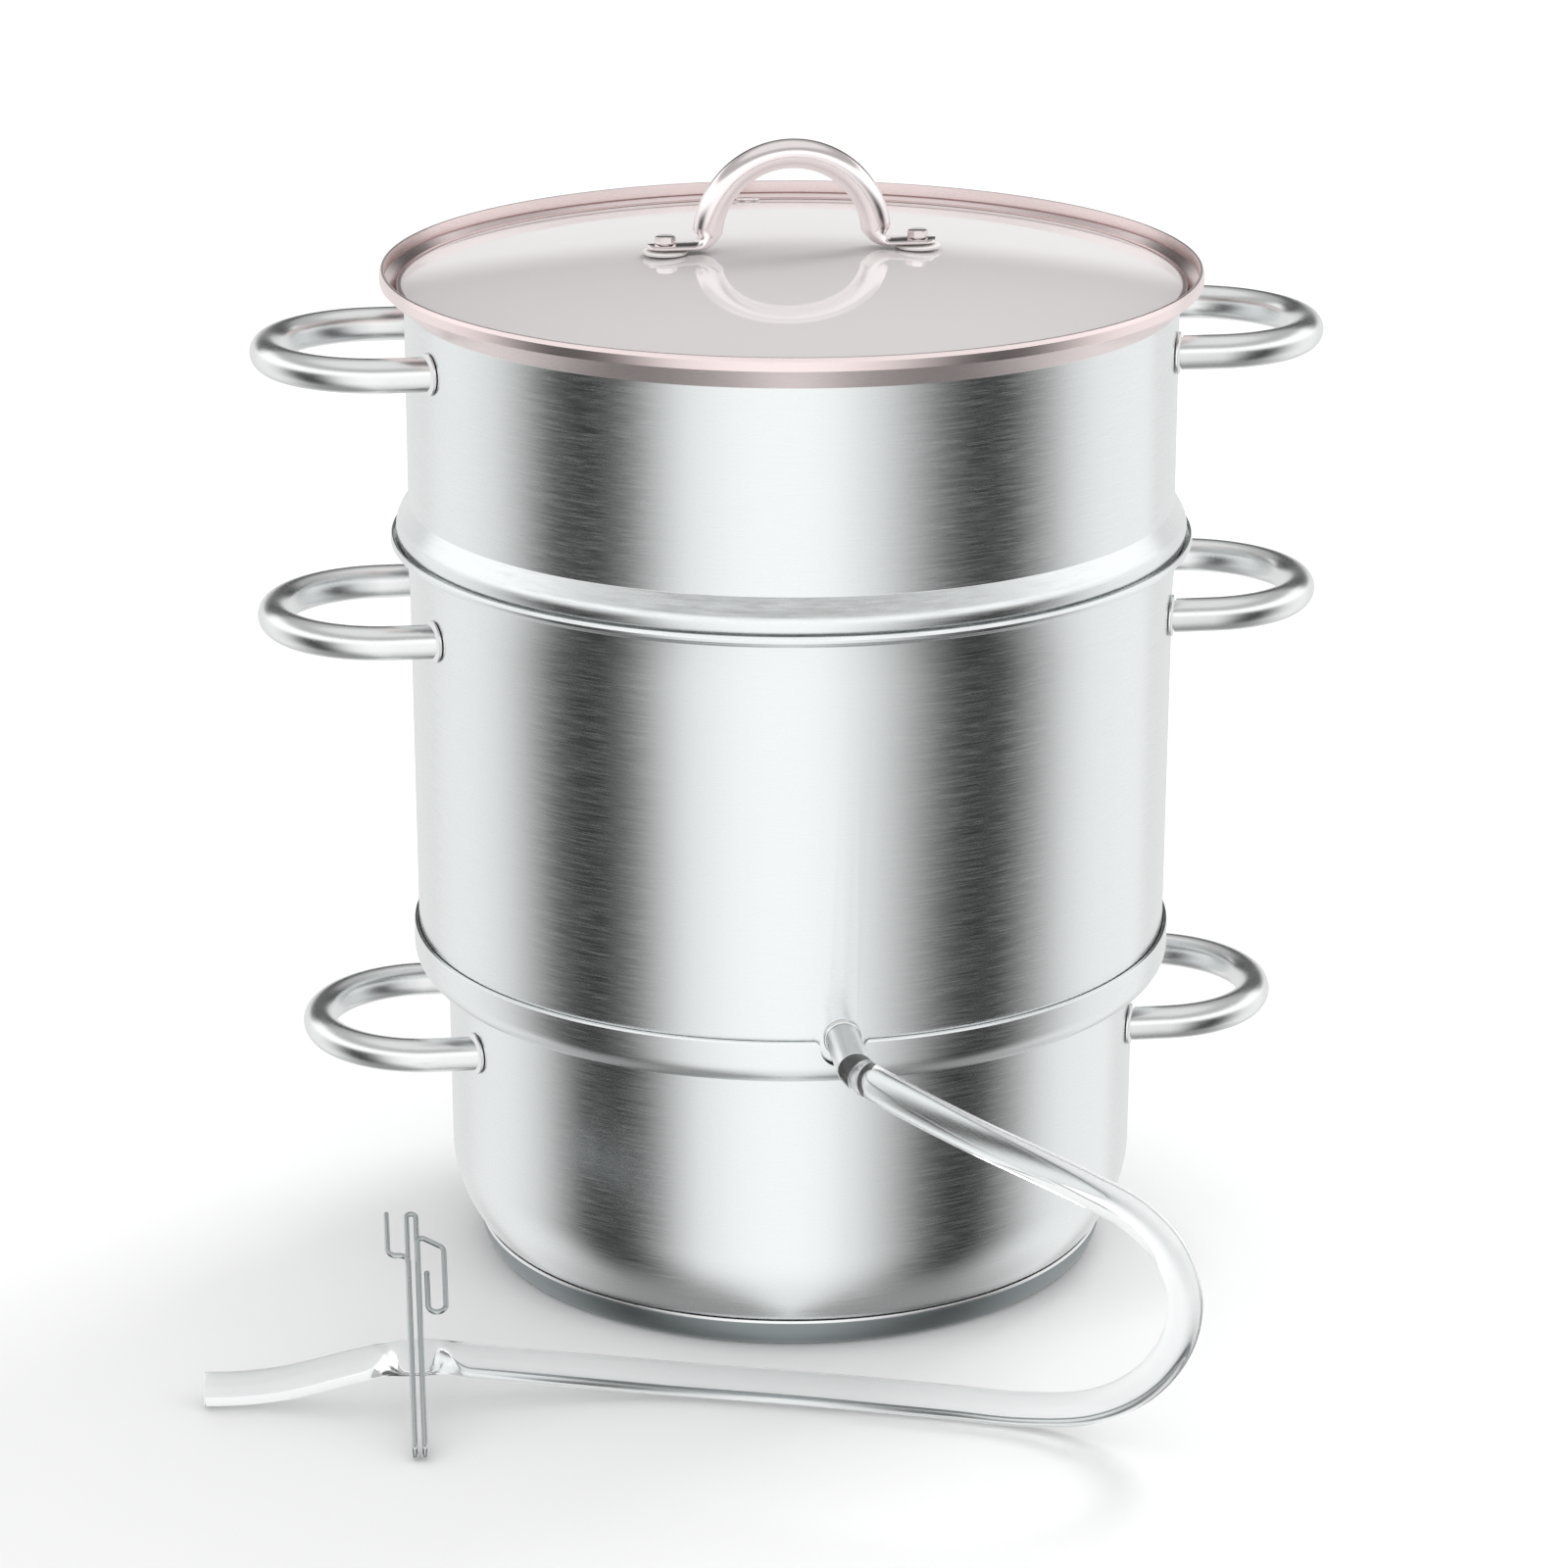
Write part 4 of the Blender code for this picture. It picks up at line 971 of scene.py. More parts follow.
@dataclass
class SideHandles:
    """Two rods bent to a U, each welded to two round pads on a vessel's wall."""

    vessel: str
    body: Body
    wall_at: WallAt
    height: float
    finish: Material
    reach: float = 51.8 * MM
    rod_radius: float = 5.8 * MM
    leg_spacing: float = 75.4 * MM
    pad_width: float = 1.3 * MM
    pad_thickness: float = 0.7 * MM
    pad_ease: float = 0.2 * MM
    pad_ease_steps: int = 4
    pad_sides: int = 48
    weld_inset: float = 0.7 * MM
    groove: float = 0.45 * MM
    rod_sides: int = 32

    def rod(self, side: Side) -> BMesh:
        """Bend one handle's rod and weld it to its pads, with a fine groove round each weld.

        Args:
            side: Which side it is on.

        Returns:
            The rod, coped to its pads.
        """
        wall = self.wall_at(self.height)
        bend = self.leg_spacing / 2
        centre = wall + self.reach - self.rod_radius - bend
        inside = wall - bend
        arc = [
            Vector((centre + bend * math.sin(angle), -bend * math.cos(angle), 0.0))
            for angle in (math.pi * step / (4 * BEND_STEPS) for step in range(4 * BEND_STEPS + 1))
        ]
        path = [Vector((inside, -bend, 0.0))] + arc + [Vector((inside, bend, 0.0))]
        place = Matrix.Translation(UP * self.height) @ Matrix.Diagonal((side.value, 1.0, 1.0, 1.0))
        path = [place @ point for point in path]
        bar = rod(path, [(self.rod_radius, self.rod_radius)] * len(path), self.rod_sides, 0.0, UP)
        weld = self.rod_radius - self.weld_inset
        groove = self.cope(GAP + self.pad_thickness + GAP + self.groove)
        for leg in (-bend, bend):
            run = [place @ Vector((x, leg, 0.0)) for x in (0.0, wall + OVERRUN)]
            groove = carve(groove, rod(run, [(weld, weld)] * 2, self.rod_sides, 0.0, UP))
        return carve(carve(bar, groove), self.cope(GAP + self.pad_thickness + GAP))

    def cope(self, distance: float) -> BMesh:
        """The cutter that fits a bar's end to the vessel.

        Args:
            distance: How far off the wall the end stays.

        Returns:
            The cutter.
        """
        reach = self.rod_radius + OVERRUN
        low, high = self.height - reach, self.height + reach
        return lathe([
            (0.0, low), (self.wall_at(low) + distance, low), (self.wall_at(high) + distance, high),
            (0.0, high),
        ])

    def pad(self, bearing: float) -> BMesh:
        """Press one weld pad: a round disc with an eased edge, wrapped on the wall.

        Args:
            bearing: Its place round the vessel, as an angle from +X.

        Returns:
            The pad.
        """
        bm = bmesh.new()
        radius = self.rod_radius + self.pad_width
        bmesh.ops.create_cone(
            bm, cap_ends=True, cap_tris=True, segments=self.pad_sides, radius1=radius, radius2=radius,
            depth=self.pad_thickness,
        )
        top = self.pad_thickness / 2
        rim = [
            edge for edge in bm.edges
            if all(vert.co.z > 0 and vert.co.xy.length > radius / 2 for vert in edge.verts)
        ]
        bmesh.ops.bevel(
            bm, geom=rim, offset=self.pad_ease, segments=self.pad_ease_steps, profile=0.5,
            affect="EDGES", material=-1,
        )
        for vert in bm.verts:
            height = self.height + vert.co.y
            reach = self.wall_at(height) + GAP + top + vert.co.z
            turn = bearing + vert.co.x / reach
            vert.co = (reach * math.cos(turn), reach * math.sin(turn), height)
        bmesh.ops.recalc_face_normals(bm, faces=bm.faces)
        return bm

    def build(self) -> None:
        """Make both handles and their pads."""
        spread = math.asin(self.leg_spacing / 2 / self.wall_at(self.height))
        for side in Side:
            name = f"{self.vessel}_{side.label}_rod"
            node = f"{self.vessel}_handle_{side.label}"
            bar = add_piece(name, self.rod(side), self.finish, self.body, Slot.BRIGHT, node)
            # The real sheet's fine brushing blurs the rods' mirror images away
            bar.visible_glossy = False
            for leg, turn in (("front", -spread), ("back", spread)):
                bearing = turn if side is Side.RIGHT else math.pi - turn
                name = f"{self.vessel}_{side.label}_{leg}_weld_pad"
                node = f"{self.vessel}_pad_{side.label}_{leg}"
                add_piece(name, self.pad(bearing), self.finish, self.body, Slot.BRIGHT, node)


def sloping_wall(low: tuple[float, float], high: tuple[float, float]) -> WallAt:
    """The radius of a straight-sided wall at any height.

    Args:
        low: Radius and height of its foot.
        high: Radius and height of its head.

    Returns:
        A function from height to radius.
    """
    def wall_at(height: float) -> float:
        """The wall's radius at a height."""
        share = (height - low[1]) / (high[1] - low[1])
        return low[0] + (high[0] - low[0]) * share

    return wall_at


@dataclass
class WaterPot:
    """Bottom vessel, which boils the water: spun shell, bonded base and two handles."""

    sheet: Material
    bright: Material
    base: Material
    radius: float = 119.5 * MM
    radius_low: float = 119.0 * MM
    height: float = 118.2 * MM
    corner: float = 42.0 * MM
    corner_height: float = 37.5 * MM
    floor_height: float = 6.0 * MM
    collar_radius: float = 131.0 * MM
    collar_band: float = 5.5 * MM
    collar_bowl: float = 10.5 * MM
    collar_ease: float = 8.0 * MM
    neck_step: float = 0.9 * MM
    hem: float = 1.3 * MM
    hem_depth: float = 2.0 * MM
    rim_lean: float = 0.7 * MM
    base_height: float = 9.9 * MM
    base_edge: float = 5.7 * MM
    base_lip: float = 0.6 * MM
    base_lean: float = 0.8 * MM
    notch_width: float = 14.6 * MM
    notch_depth: float = 8.7 * MM
    notch_corner: float = 6.4 * MM
    notch_shoulder: float = 2.2 * MM
    handle_drop: float = 34.4 * MM
    handle_reach: float = 51.0 * MM

    @property
    def collar_low(self) -> float:
        """Height of the ledge that the kettle seats on."""
        return self.height - self.collar_band - self.collar_bowl

    @property
    def neck(self) -> float:
        """Height where the straight wall ends."""
        return self.collar_low - self.neck_step

    def outline(self) -> Outline:
        """Outer side, from the middle of the floor to the rim.

        Returns:
            Radius and height of its points.
        """
        lean = math.degrees(math.asin((self.corner_height - self.floor_height) / self.corner))
        centre = (self.radius_low - self.corner, self.corner_height)
        corner = round_arc(centre, self.corner, -lean, 0.0, 2 * BEND_STEPS)
        collar = eased_outline([
            (*corner[-1], 0.0), (self.radius, self.neck, CREASE),
            (self.radius + self.neck_step, self.collar_low, CREASE),
            (self.collar_radius, self.collar_low, self.collar_ease), (self.collar_radius, self.height, 0.0),
        ])
        return [(0.0, self.floor_height)] + corner + collar[1:]

    def notch(self) -> BMesh:
        """The cutter of the notch that clears the spout: upright sides and rounded shoulders.

        Returns:
            The closed cutter.
        """
        half = self.notch_width / 2
        low = self.height - self.notch_depth
        corner = round_arc(
            (half - self.notch_corner, low + self.notch_corner), self.notch_corner, -90.0, 0.0,
        )
        flank = round_arc(
            (half + self.notch_shoulder, self.height - self.notch_shoulder), self.notch_shoulder,
            180.0, 90.0,
        )
        side = corner + flank + [(half + self.notch_shoulder, self.height + OVERRUN)]
        outline = side + [(-x, z) for x, z in reversed(side)]
        bm = bmesh.new()
        face = bm.faces.new([bm.verts.new((x, -self.radius, z)) for x, z in outline])
        pushed = bmesh.ops.extrude_face_region(bm, geom=[face])["geom"]
        verts = [part for part in pushed if isinstance(part, bmesh.types.BMVert)]
        bmesh.ops.translate(bm, verts=verts, vec=-BACK * (self.collar_radius + OVERRUN - self.radius))
        bmesh.ops.recalc_face_normals(bm, faces=bm.faces)
        return bm

    def base_outline(self) -> Outline:
        """The base disc: a rounded edge, and a dished top that takes the pot's corner.

        Returns:
            Radius and height of its points.
        """
        reach = self.corner + GAP
        seat = self.floor_height - GAP
        dish = []
        for step in range(BEND_STEPS + 1):
            height = self.base_height + (seat - self.base_height) * step / BEND_STEPS
            drop = self.corner_height - height
            dish.append((self.radius_low - self.corner + math.sqrt(reach ** 2 - drop ** 2), height))
        outside = dish[0][0] + self.base_lip
        lean_in = (outside - self.base_lean * math.tan(RIM_LEAN), self.base_height)
        edge = []
        for step in range(2 * BEND_STEPS + 1):
            angle = math.pi / 4 * step / BEND_STEPS
            edge.append((
                outside - self.base_edge * (1 - math.sin(angle)),
                (self.base_height - self.base_lean) * (1 - math.cos(angle)),
            ))
        return [(0.0, 0.0)] + edge + [lean_in] + dish + [(0.0, seat)]

    def build(self) -> None:
        """Make the shell, the base and the handles."""
        outline = sheet_with_rim(self.outline(), self.hem, self.hem_depth, self.rim_lean)
        shell = carve(lathe(outline), self.notch())
        add_piece("pot_spun_shell", shell, self.sheet, Body.POT, Slot.SHEET, "pot_shell")
        base = lathe(self.base_outline())
        lean_low = self.base_height - self.base_lean
        # Only the lean at the top of its edge takes the pale polished steel: a painted highlight line round
        # the base
        for face in base.faces:
            middle = face.calc_center_median()
            outside = middle.xy.length > self.radius_low - self.corner
            face.material_index = int(outside and middle.z > lean_low)
        add_piece("pot_bonded_base", base, (self.base, self.bright), Body.POT, Slot.BASE, "base_disc")
        wall_at = sloping_wall((self.radius_low, self.corner_height), (self.radius, self.neck))
        height = self.height - self.handle_drop
        SideHandles("pot", Body.POT, wall_at, height, self.bright, self.handle_reach).build()


@dataclass
class JuiceKettle:
    """Middle vessel, which gathers the juice: spun shell, steam funnel, spout and two handles."""

    sheet: Material
    bright: Material
    # Near-black steel for the spout's bore: painted shade that makes its mouth look deep
    bore_shade: Material
    seat: float = 103.3 * MM
    radius: float = 130.0 * MM
    radius_low: float = 129.3 * MM
    foot_radius: float = 120.4 * MM
    foot_bowl: float = 9.4 * MM
    height: float = 153.6 * MM
    rim_radius: float = 136.2 * MM
    rim_band: float = 2.0 * MM
    neck_step: float = 0.9 * MM
    neck_drop: float = 3.0 * MM
    cone: float = 14.0 * MM
    hem: float = 1.0 * MM
    hem_depth: float = 1.6 * MM
    rim_lean: float = 1.2 * MM
    floor_hole: float = 40.0 * MM
    funnel_base: float = 42.0 * MM
    funnel_top: float = 20.0 * MM
    funnel_height: float = 118.0 * MM
    funnel_flange: float = 8.0 * MM
    funnel_lip: float = 1.6 * MM
    funnel_foot: float = 1.9 * MM
    funnel_bend: float = 4.0 * MM
    spout_radius: float = 4.7 * MM
    spout_bore: float = 4.05 * MM
    spout_rise: float = 15.7 * MM
    spout_reach: float = 28.0 * MM
    spout_inside: float = 2.0 * MM
    collar_radius: float = 6.2 * MM
    collar_thickness: float = 1.4 * MM
    collar_ease: float = 0.5 * MM
    handle_drop: float = 26.1 * MM

    @property
    def rim_height(self) -> float:
        """Height of the rim over the floor that the juicer stands on."""
        return self.seat + self.height

    @property
    def band_low(self) -> float:
        """Height where the flare ends and the rim's upright band starts."""
        return self.rim_height - self.rim_band

    @property
    def neck(self) -> float:
        """Height where the flare starts."""
        return self.band_low - self.neck_drop

    @property
    def spout_height(self) -> float:
        """Height of the spout's axis."""
        return self.seat + self.spout_rise

    def flare(self) -> Outline:
        """The flare under the rim, which the basket seats in."""
        return s_bend((self.radius + self.neck_step, self.neck), (self.rim_radius, self.band_low))

    def outline(self) -> Outline:
        """Outer side, from the hole in the floor to the rim.

        Returns:
            Radius and height of its points.
        """
        foot = quarter(
            (self.foot_radius, self.seat), (self.radius_low, self.seat + self.foot_bowl), 2 * BEND_STEPS,
        )
        wall_top = (self.radius, self.neck - self.cone)
        rim = (self.rim_radius, self.rim_height)
        return [(self.floor_hole, self.seat), *foot, wall_top, *self.flare(), rim]

    def funnel(self) -> BMesh:
        """Spin the steam funnel: a flange on the floor, a cone and a small lip.

        Returns:
            The funnel.
        """
        foot = self.seat + self.funnel_foot
        top = foot + self.funnel_height
        outline = [
            (self.funnel_base + self.funnel_flange, foot), (self.funnel_base + self.funnel_bend, foot),
            (self.funnel_base, foot + self.funnel_bend), (self.funnel_top, top - 2 * self.funnel_lip),
            (self.funnel_top, top - self.funnel_lip), (self.funnel_top + self.funnel_lip, top),
        ]
        return lathe(outline + beside(outline, WALL)[::-1], TURN_STEPS // 2)

    def along_spout(self, outline: Outline) -> BMesh:
        """Spin an outline round the spout's axis.

        Args:
            outline: Radius and distance from the kettle's axis.

        Returns:
            The shape in its place.
        """
        turn = Matrix.Rotation(math.pi / 2, 4, "X")
        return lathe(outline, SMALL_STEPS, Matrix.Translation(UP * self.spout_height) @ turn)

    def spout(self) -> BMesh:
        """The spout tube with a rolled mouth.

        Returns:
            The tube, from inside the kettle to its mouth.
        """
        inside = self.radius_low - WALL - self.spout_inside
        mouth = self.radius_low + self.spout_reach
        edge = (self.spout_radius - self.spout_bore) / 2
        lip = round_arc((self.spout_bore + edge, mouth - edge), edge, 0.0, 180.0)
        return self.along_spout([(self.spout_bore, inside), (self.spout_radius, inside)] + lip)

    def weld_collar(self) -> BMesh:
        """The collar round the spout's foot, coped to the kettle's wall.

        Returns:
            The collar.
        """
        bore = self.spout_radius + GAP
        face = self.radius_low + GAP + self.collar_thickness
        ease = self.collar_ease
        ring = self.along_spout([
            (bore, self.radius_low - OVERRUN), (self.collar_radius, self.radius_low - OVERRUN),
            *round_arc((self.collar_radius - ease, face - ease), ease, 0.0, 90.0), (bore, face),
        ])
        high = self.spout_height + self.collar_radius + OVERRUN
        wall = lathe([
            (0.0, self.seat), (self.radius_low + GAP, self.seat), (self.radius_low + GAP, high), (0.0, high),
        ])
        return carve(ring, wall)

    def build(self) -> None:
        """Make the shell, the funnel, the spout and the handles."""
        hole = self.along_spout([
            (0.0, self.radius_low - OVERRUN), (self.spout_radius + GAP, self.radius_low - OVERRUN),
            (self.spout_radius + GAP, self.radius_low + OVERRUN), (0.0, self.radius_low + OVERRUN),
        ])
        outline = sheet_with_rim(self.outline(), self.hem, self.hem_depth, self.rim_lean)
        shell = carve(lathe(outline), hole)
        add_piece("kettle_spun_shell", shell, self.sheet, Body.KETTLE, Slot.SHEET, "kettle_shell")
        add_piece("kettle_steam_funnel", self.funnel(), self.sheet, Body.KETTLE, Slot.SHEET, "steam_funnel")
        spout = self.spout()
        middle = (self.spout_radius + self.spout_bore) / 2
        # The bore's inner faces take the near-black steel: painted shade in the spout's mouth
        for face in spout.faces:
            at = face.calc_center_median()
            face.material_index = int(math.hypot(at.x, at.z - self.spout_height) < middle - MERGE)
        finishes = (self.bright, self.bore_shade)
        add_piece("juice_spout", spout, finishes, Body.KETTLE, Slot.BRIGHT, "spout_tube")
        collar = self.weld_collar()
        add_piece("juice_spout_collar", collar, self.bright, Body.KETTLE, Slot.BRIGHT, "spout_collar")
        wall_at = sloping_wall(
            (self.radius_low, self.seat + self.foot_bowl), (self.radius, self.neck - self.cone),
        )
        height = self.rim_height - self.handle_drop
        SideHandles("kettle", Body.KETTLE, wall_at, height, self.bright).build()


@dataclass
class FruitBasket:
    """Top vessel, which holds the fruit: shell with a bead and a perforated floor, and two handles."""

    sheet: Material
    warm_sheet: Material
    bright: Material
    kettle: JuiceKettle
    radius: float = 130.0 * MM
    height: float = 90.7 * MM
    rim_radius: float = 137.9 * MM
    rim_band: float = 4.4 * MM
    rim_drop: float = 7.1 * MM
    hem: float = 1.5 * MM
    hem_depth: float = 4.0 * MM
    rim_lean: float = 1.4 * MM
    bead_radius: float = 134.3 * MM
    bead_top: float = 11.5 * MM
    bead_shoulder: float = 4.3 * MM
    bead_ease: float = 8.0 * MM
    bead_low: float = 1.0 * MM
    skirt_radius: float = 127.8 * MM
    skirt_depth: float = 26.0 * MM
    skirt_corner: float = 8.0 * MM
    skirt_top: float = 10.0 * MM
    hole_radius: float = 3.0 * MM
    hole_pitch: float = 24.0 * MM
    hole_rings: int = 4
    holes_per_ring: int = 6
    hole_sides: int = 20
    handle_drop: float = 25.8 * MM

    @property
    def low(self) -> float:
        """Height of the kettle's rim, which the basket's own heights are counted from."""
        return self.kettle.rim_height

    @property
    def rim_height(self) -> float:
        """Height of the rim over the floor that the juicer stands on."""
        return self.low + self.height

    def outline(self) -> Outline:
        """Outer side, from the middle of the floor to the rim.

        Returns:
            Radius and height of its points.
        """
        floor = self.low - self.skirt_depth
        corner = quarter(
            (self.skirt_radius - self.skirt_corner, floor), (self.skirt_radius, floor + self.skirt_corner),
        )
        kettle = self.kettle
        under = beside([(kettle.radius, kettle.neck - kettle.cone)] + kettle.flare(), WALL + GAP)[1:]
        under = [point for point in under if point[0] < self.bead_radius - WALL]
        band_low = self.rim_height - self.rim_band
        side = eased_outline([
            (self.bead_radius, self.low + self.bead_low, 0.0),
            (self.bead_radius, self.low + self.bead_shoulder, self.bead_ease),
            (self.radius, self.low + self.bead_top, CREASE),
            (self.radius, band_low - self.rim_drop, CREASE),
            (self.rim_radius, band_low, CREASE), (self.rim_radius, self.rim_height, 0.0),
        ])
        return [(0.0, floor)] + corner + [(self.skirt_radius, self.low - self.skirt_top)] + under + side

    def floor_holes(self) -> BMesh:
        """The cutter of the floor's holes: rings whose hole count grows with the ring.

        Returns:
            The cutter, one pin for each hole.
        """
        bm = bmesh.new()
        floor = self.low - self.skirt_depth
        for ring in range(1, self.hole_rings + 1):
            count = self.holes_per_ring * ring
            for index in range(count):
                angle = math.tau * index / count
                at = Vector((math.cos(angle), math.sin(angle), 0.0)) * self.hole_pitch * ring
                at.z = floor
                bmesh.ops.create_cone(
                    bm, cap_ends=True, segments=self.hole_sides, radius1=self.hole_radius,
                    radius2=self.hole_radius, depth=2 * OVERRUN, matrix=Matrix.Translation(at),
                )
        return bm

    def build(self) -> None:
        """Make the shell with its two tones, and the handles."""
        outline = sheet_with_rim(self.outline(), self.hem, self.hem_depth, self.rim_lean)
        shell = carve(lathe(outline), self.floor_holes())
        collar_low = self.rim_height - self.rim_band - self.rim_drop
        for face in shell.faces:
            face.material_index = int(face.calc_center_median().z > collar_low)
        finishes = (self.sheet, self.warm_sheet)
        add_piece("basket_spun_shell", shell, finishes, Body.BASKET, Slot.SHEET, "basket_shell")
        height = self.rim_height - self.handle_drop
        SideHandles("basket", Body.BASKET, lambda level: self.radius, height, self.bright).build()


@dataclass
class Lid:
    """Domed glass in a steel band, with a vent eyelet and an arched tube handle on two screws."""

    glass: Material
    band_steel: Material
    bright: Material
    rubber: Material
    basket: FruitBasket
    glass_thickness: float = 2.6 * MM
    glass_rise: float = 10.4 * MM
    band_step: float = 2.6 * MM
    band_wall: float = 0.4 * MM
    band_lip: float = 1.0 * MM
    band_foot_step: float = 1.0 * MM
    band_foot_rise: float = 1.4 * MM
    seat_drop: float = 9.03 * MM
    arch_radius: float = 28.5 * MM
    tube_radius: float = 4.95 * MM
    leg_rise: float = 1.9 * MM
    foot_bend: float = 4.6 * MM
    tube_sides: int = 40
    # Power of the bend's share: the tube flattens early in its bend towards the tab
    flattening: float = 1.3
    tab_thickness: float = 2.0 * MM
    tab_width: float = 12.0 * MM
    tab_nose: float = 6.0 * MM
    screw_spread: float = 42.6 * MM
    screw_radius: float = 2.0 * MM
    head_radius: float = 3.5 * MM
    head_height: float = 2.3 * MM
    head_chamfer: float = 0.15 * MM
    gasket_radius: float = 7.5 * MM
    gasket_thickness: float = 1.0 * MM
    gasket_ease: float = 0.3 * MM
    gasket_ease_steps: int = 4
    nut_across: float = 7.0 * MM
    nut_height: float = 4.0 * MM
    nut_cap: float = 1.2 * MM
    vent_place: float = 121.0 * MM
    vent_bore: float = 1.5 * MM
    vent_barrel: float = 2.3 * MM
    vent_flange_radius: float = 4.3 * MM
    vent_flange: float = 1.0 * MM
    vent_sides: int = 48

    @property
    def band_radius(self) -> float:
        """Outer radius of the steel band."""
        return self.basket.radius + self.band_step

    @property
    def foot_radius(self) -> float:
        """Outer radius of the band's foot."""
        return self.basket.radius + self.band_foot_step

    @property
    def band_low(self) -> float:
        """Height of the band's foot, which rests inside the basket's flare."""
        return self.basket.rim_height - self.seat_drop

    @property
    def band_top(self) -> float:
        """Height of the band's upper lip."""
        return self.band_low + 2 * self.band_wall + 2 * GAP + self.glass_thickness

    @property
    def glass_radius(self) -> float:
        """Radius of the glass's edge."""
        return self.band_radius - self.band_wall - GAP

    def glass_height(self, radius: float) -> float:
        """Height of the glass's upper side at a radius."""
        edge = self.band_top - self.band_wall - GAP
        return edge + self.glass_rise * (1 - (radius / self.glass_radius) ** 2)

    @property
    def gasket_low(self) -> float:
        """Height of the upper gaskets' under side."""
        return self.glass_height(self.screw_spread - self.gasket_radius) + GAP

    @property
    def tab_low(self) -> float:
        """Height of the tabs' under side."""
        return self.gasket_low + self.gasket_thickness + GAP

    @property
    def under_gasket_top(self) -> float:
        """Height of the lower gaskets' upper side."""
        return self.glass_height(self.screw_spread + self.gasket_radius) - self.glass_thickness - GAP

    def screw_place(self, side: Side) -> Vector:
        """Where the axis of a side's screw stands."""
        return Vector((side.value * self.screw_spread, 0.0, 0.0))

    def pane(self) -> BMesh:
        """Press the domed glass, of one thickness, with its edge ground to the band's foot.

        Returns:
            The glass with its screw holes and its vent hole.
        """
        rings = 3 * BEND_STEPS
        upper = []
        for ring in range(rings + 1):
            radius = self.glass_radius * ring / rings
            upper.append((radius, self.glass_height(radius)))
        ground = self.foot_radius - self.band_wall - GAP
        edge = [
            (self.glass_radius, self.band_low + self.band_foot_rise + GAP),
            (ground, self.glass_height(ground) - self.glass_thickness),
        ]
        lower = [(radius, height - self.glass_thickness) for radius, height in upper[-2::-1]]
        bm = lathe(upper + edge + lower)
        low, high = self.under_gasket_top - OVERRUN, self.gasket_low + OVERRUN
        for side in Side:
            bm = carve(bm, upright(self.screw_radius + GAP, low, high, self.screw_place(side)))
        at, tilt = self.vent_axes()
        reach = self.glass_thickness / 2 + OVERRUN
        drill = upright(self.vent_barrel + GAP, -reach, reach, Vector((0.0, 0.0, 0.0)))
        bmesh.ops.transform(drill, matrix=Matrix.Translation(at) @ tilt, verts=drill.verts)
        return carve(bm, drill)

    def vent_axes(self) -> tuple[Vector, Matrix]:
        """Middle of the vent in the glass, and its tilt square to the dome.

        Returns:
            The place and the turn.
        """
        slope = 2 * self.glass_rise * self.vent_place / self.glass_radius ** 2
        height = self.glass_height(self.vent_place) - self.glass_thickness / 2
        return BACK * self.vent_place + UP * height, Matrix.Rotation(-math.atan(slope), 4, "X")

    def band(self) -> BMesh:
        """Roll the band that wraps the glass's edge and rests on the basket's flare.

        Returns:
            The band.
        """
        low, top, wall, lip = self.band_low, self.band_top, self.band_wall, self.band_lip
        inner = self.band_radius - wall
        foot = self.foot_radius - wall
        corner = 2 * wall
        crown = round_arc((self.band_radius - corner, top - corner), corner, 0.0, 90.0)
        return lathe([
            (self.glass_radius - lip, top - wall), (inner, top - wall), (inner, low + self.band_foot_rise),
            (foot, low + wall), (foot - lip, low + wall), (foot - lip, low),
            (self.foot_radius, low), (self.band_radius, low + self.band_foot_rise),
            *crown, (self.glass_radius - lip, top),
        ])

    def arch(self) -> BMesh:
        """Bend the handle's tube into an arch and flatten its feet into tabs.

        Returns:
            The handle, drilled for its screws.
        """
        tab = self.tab_low + self.tab_thickness / 2
        bend = self.foot_bend
        centre = tab + self.leg_rise
        outer = self.arch_radius + bend
        flat, wide, tube = self.tab_thickness / 2, self.tab_width / 2, self.tube_radius
        half = []
        sections = []
        for step in range(2 * BEND_STEPS + 1):
            angle = math.pi / 4 * step / BEND_STEPS
            half.append((self.screw_spread + self.tab_nose * math.cos(angle), tab))
            sections.append((max(wide * math.sin(angle), flat / 2), flat))
        half.append(((self.screw_spread + outer) / 2, tab))
        sections.append((wide, flat))
        for step in range(2 * BEND_STEPS):
            angle = math.pi / 4 * step / BEND_STEPS
            share = step / (2 * BEND_STEPS)
            half.append((outer - bend * math.sin(angle), tab + bend * (1 - math.cos(angle))))
            sections.append((
                wide + (tube - wide) * share, flat + (tube - flat) * share ** self.flattening,
            ))
        start = math.asin((bend - self.leg_rise) / self.arch_radius)
        for step in range(3 * BEND_STEPS + 1):
            angle = start + (math.pi / 2 - start) * step / (3 * BEND_STEPS)
            half.append((self.arch_radius * math.cos(angle), centre + self.arch_radius * math.sin(angle)))
            sections.append((tube, tube))
        path = [Vector((-x, 0.0, z)) for x, z in half] + [Vector((x, 0.0, z)) for x, z in half[-2::-1]]
        bm = rod(path, sections + sections[-2::-1], self.tube_sides, 0.0, BACK)
        for side in Side:
            at = self.screw_place(side)
            bm = carve(bm, upright(self.screw_radius + GAP, self.gasket_low, tab + OVERRUN, at))
        return bm

